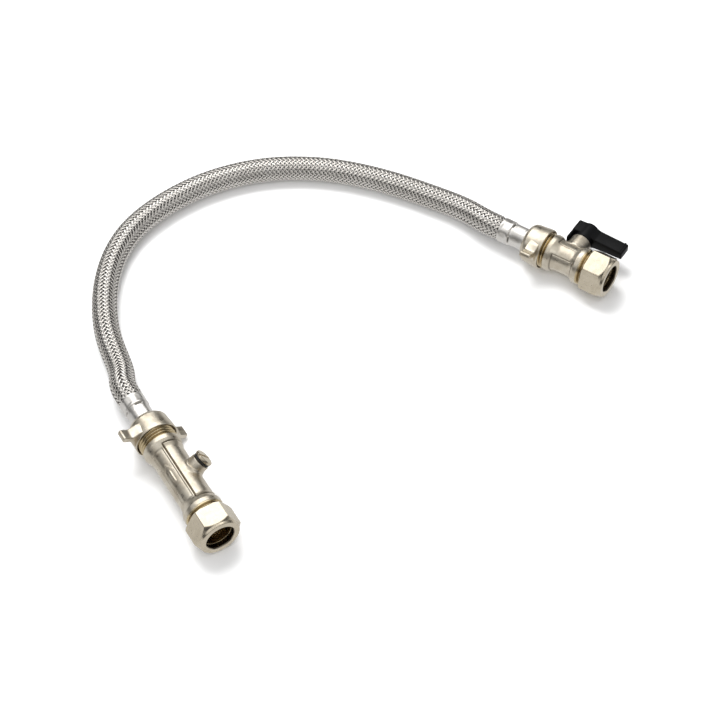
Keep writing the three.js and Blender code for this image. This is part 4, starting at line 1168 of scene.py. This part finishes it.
# Inner pieces keep their CAD shapes, and each node whose name ends as listed takes that finish
FINISHES = {
    "cage_o_ring": RUBBER, "poppet_seal": RUBBER, "stem_o_ring": RUBBER, "test_plug_o_ring": RUBBER,
    "check_cage": ACETAL, "check_poppet": ACETAL, "check_spring": STEEL,
    "retaining_ring": STEEL, "lever_screw": STEEL, "valve_ball": STEEL, "ball_seat": PTFE,
    "union_washer": FIBRE, "hose_tail": BRASS, "valve_stem": BRASS, "seat_retainer": BRASS,
    "test_plug": TURNED, "lever_handle": LEVER,
}
for node_name, node in nodes.items():
    for ending, material in FINISHES.items():
        if node_name.endswith(ending):
            node.data.materials.clear()
            node.data.materials.append(material)
            break


# Floor and light
FLOOR_HALF = 6


def floor():
    """A white sheet under the loop. It catches shadows, and metal doesn't mirror it."""
    mesh = bpy.data.meshes.new("floor")
    corners = [(x * FLOOR_HALF, y * FLOOR_HALF, 0) for x, y in ((-1, -1), (1, -1), (1, 1), (-1, 1))]
    mesh.from_pydata(corners, [], [(0, 1, 2, 3)])
    made = bpy.data.objects.new("floor", mesh)
    bpy.context.scene.collection.objects.link(made)
    paper = Shader("white_paper", (0.93, 0.93, 0.93), 0.9, Specular_IOR_Level=0.1)
    made.data.materials.append(paper.material)
    made.visible_glossy = False


def area_light(name, place, size, power, mirrored):
    """A softbox that faces the part. One that isn't mirrored lights it but isn't reflected."""
    data = bpy.data.lights.new(name, "AREA")
    data.shape = "RECTANGLE"
    data.size, data.size_y = size
    data.energy = power
    lamp = bpy.data.objects.new(name, data)
    lamp.location = place
    lamp.rotation_euler = (target - Vector(place)).to_track_quat("-Z", "Y").to_euler()
    lamp.visible_glossy = mirrored
    bpy.context.scene.collection.objects.link(lamp)


def studio():
    """A grey room for the metal to reflect: darker towards its walls, paler at its foot."""
    world = bpy.data.worlds.new("studio")
    world.use_nodes = True
    tree = world.node_tree
    direction = tree.nodes.new("ShaderNodeTexCoord")
    parts = tree.nodes.new("ShaderNodeSeparateXYZ")
    tree.links.new(direction.outputs["Generated"], parts.inputs[0])
    both = tree.nodes.new("ShaderNodeMath")
    for place, values in enumerate(((0.1, 0.85, 0.04, 0.75), (-0.12, 0.06, 0.7, 0))):
        level = tree.nodes.new("ShaderNodeMapRange")
        level.interpolation_type = "SMOOTHSTEP"
        for socket, value in zip(("From Min", "From Max", "To Min", "To Max"), values):
            level.inputs[socket].default_value = value
        tree.links.new(parts.outputs["Z"], level.inputs["Value"])
        tree.links.new(level.outputs["Result"], both.inputs[place])
    background = tree.nodes["Background"]
    background.inputs["Color"].default_value = (1, 1, 1, 1)
    tree.links.new(both.outputs[0], background.inputs["Strength"])
    bpy.context.scene.world = world


# Lights: name, place, size in metres, watts, and whether metal mirrors it
floor()
studio()
for light in (
    ("overhead", (0.1, 0.75, 1.2), (0.8, 0.6), 15, False),
    ("fill", (-0.7, -0.3, 1.3), (0.9, 0.9), 5.5, False),
    ("softbox", (0.1, 0.68, 0.98), (1.4, 0.8), 5.2, True),
    ("window", (-0.95, 0.15, 0.75), (0.2, 0.6), 0.22, True),
    ("front", (-0.1, -1.0, 1.1), (0.9, 0.25), 1.0, True),
):
    area_light(*light)
bpy.context.scene.view_settings.view_transform = "Standard"
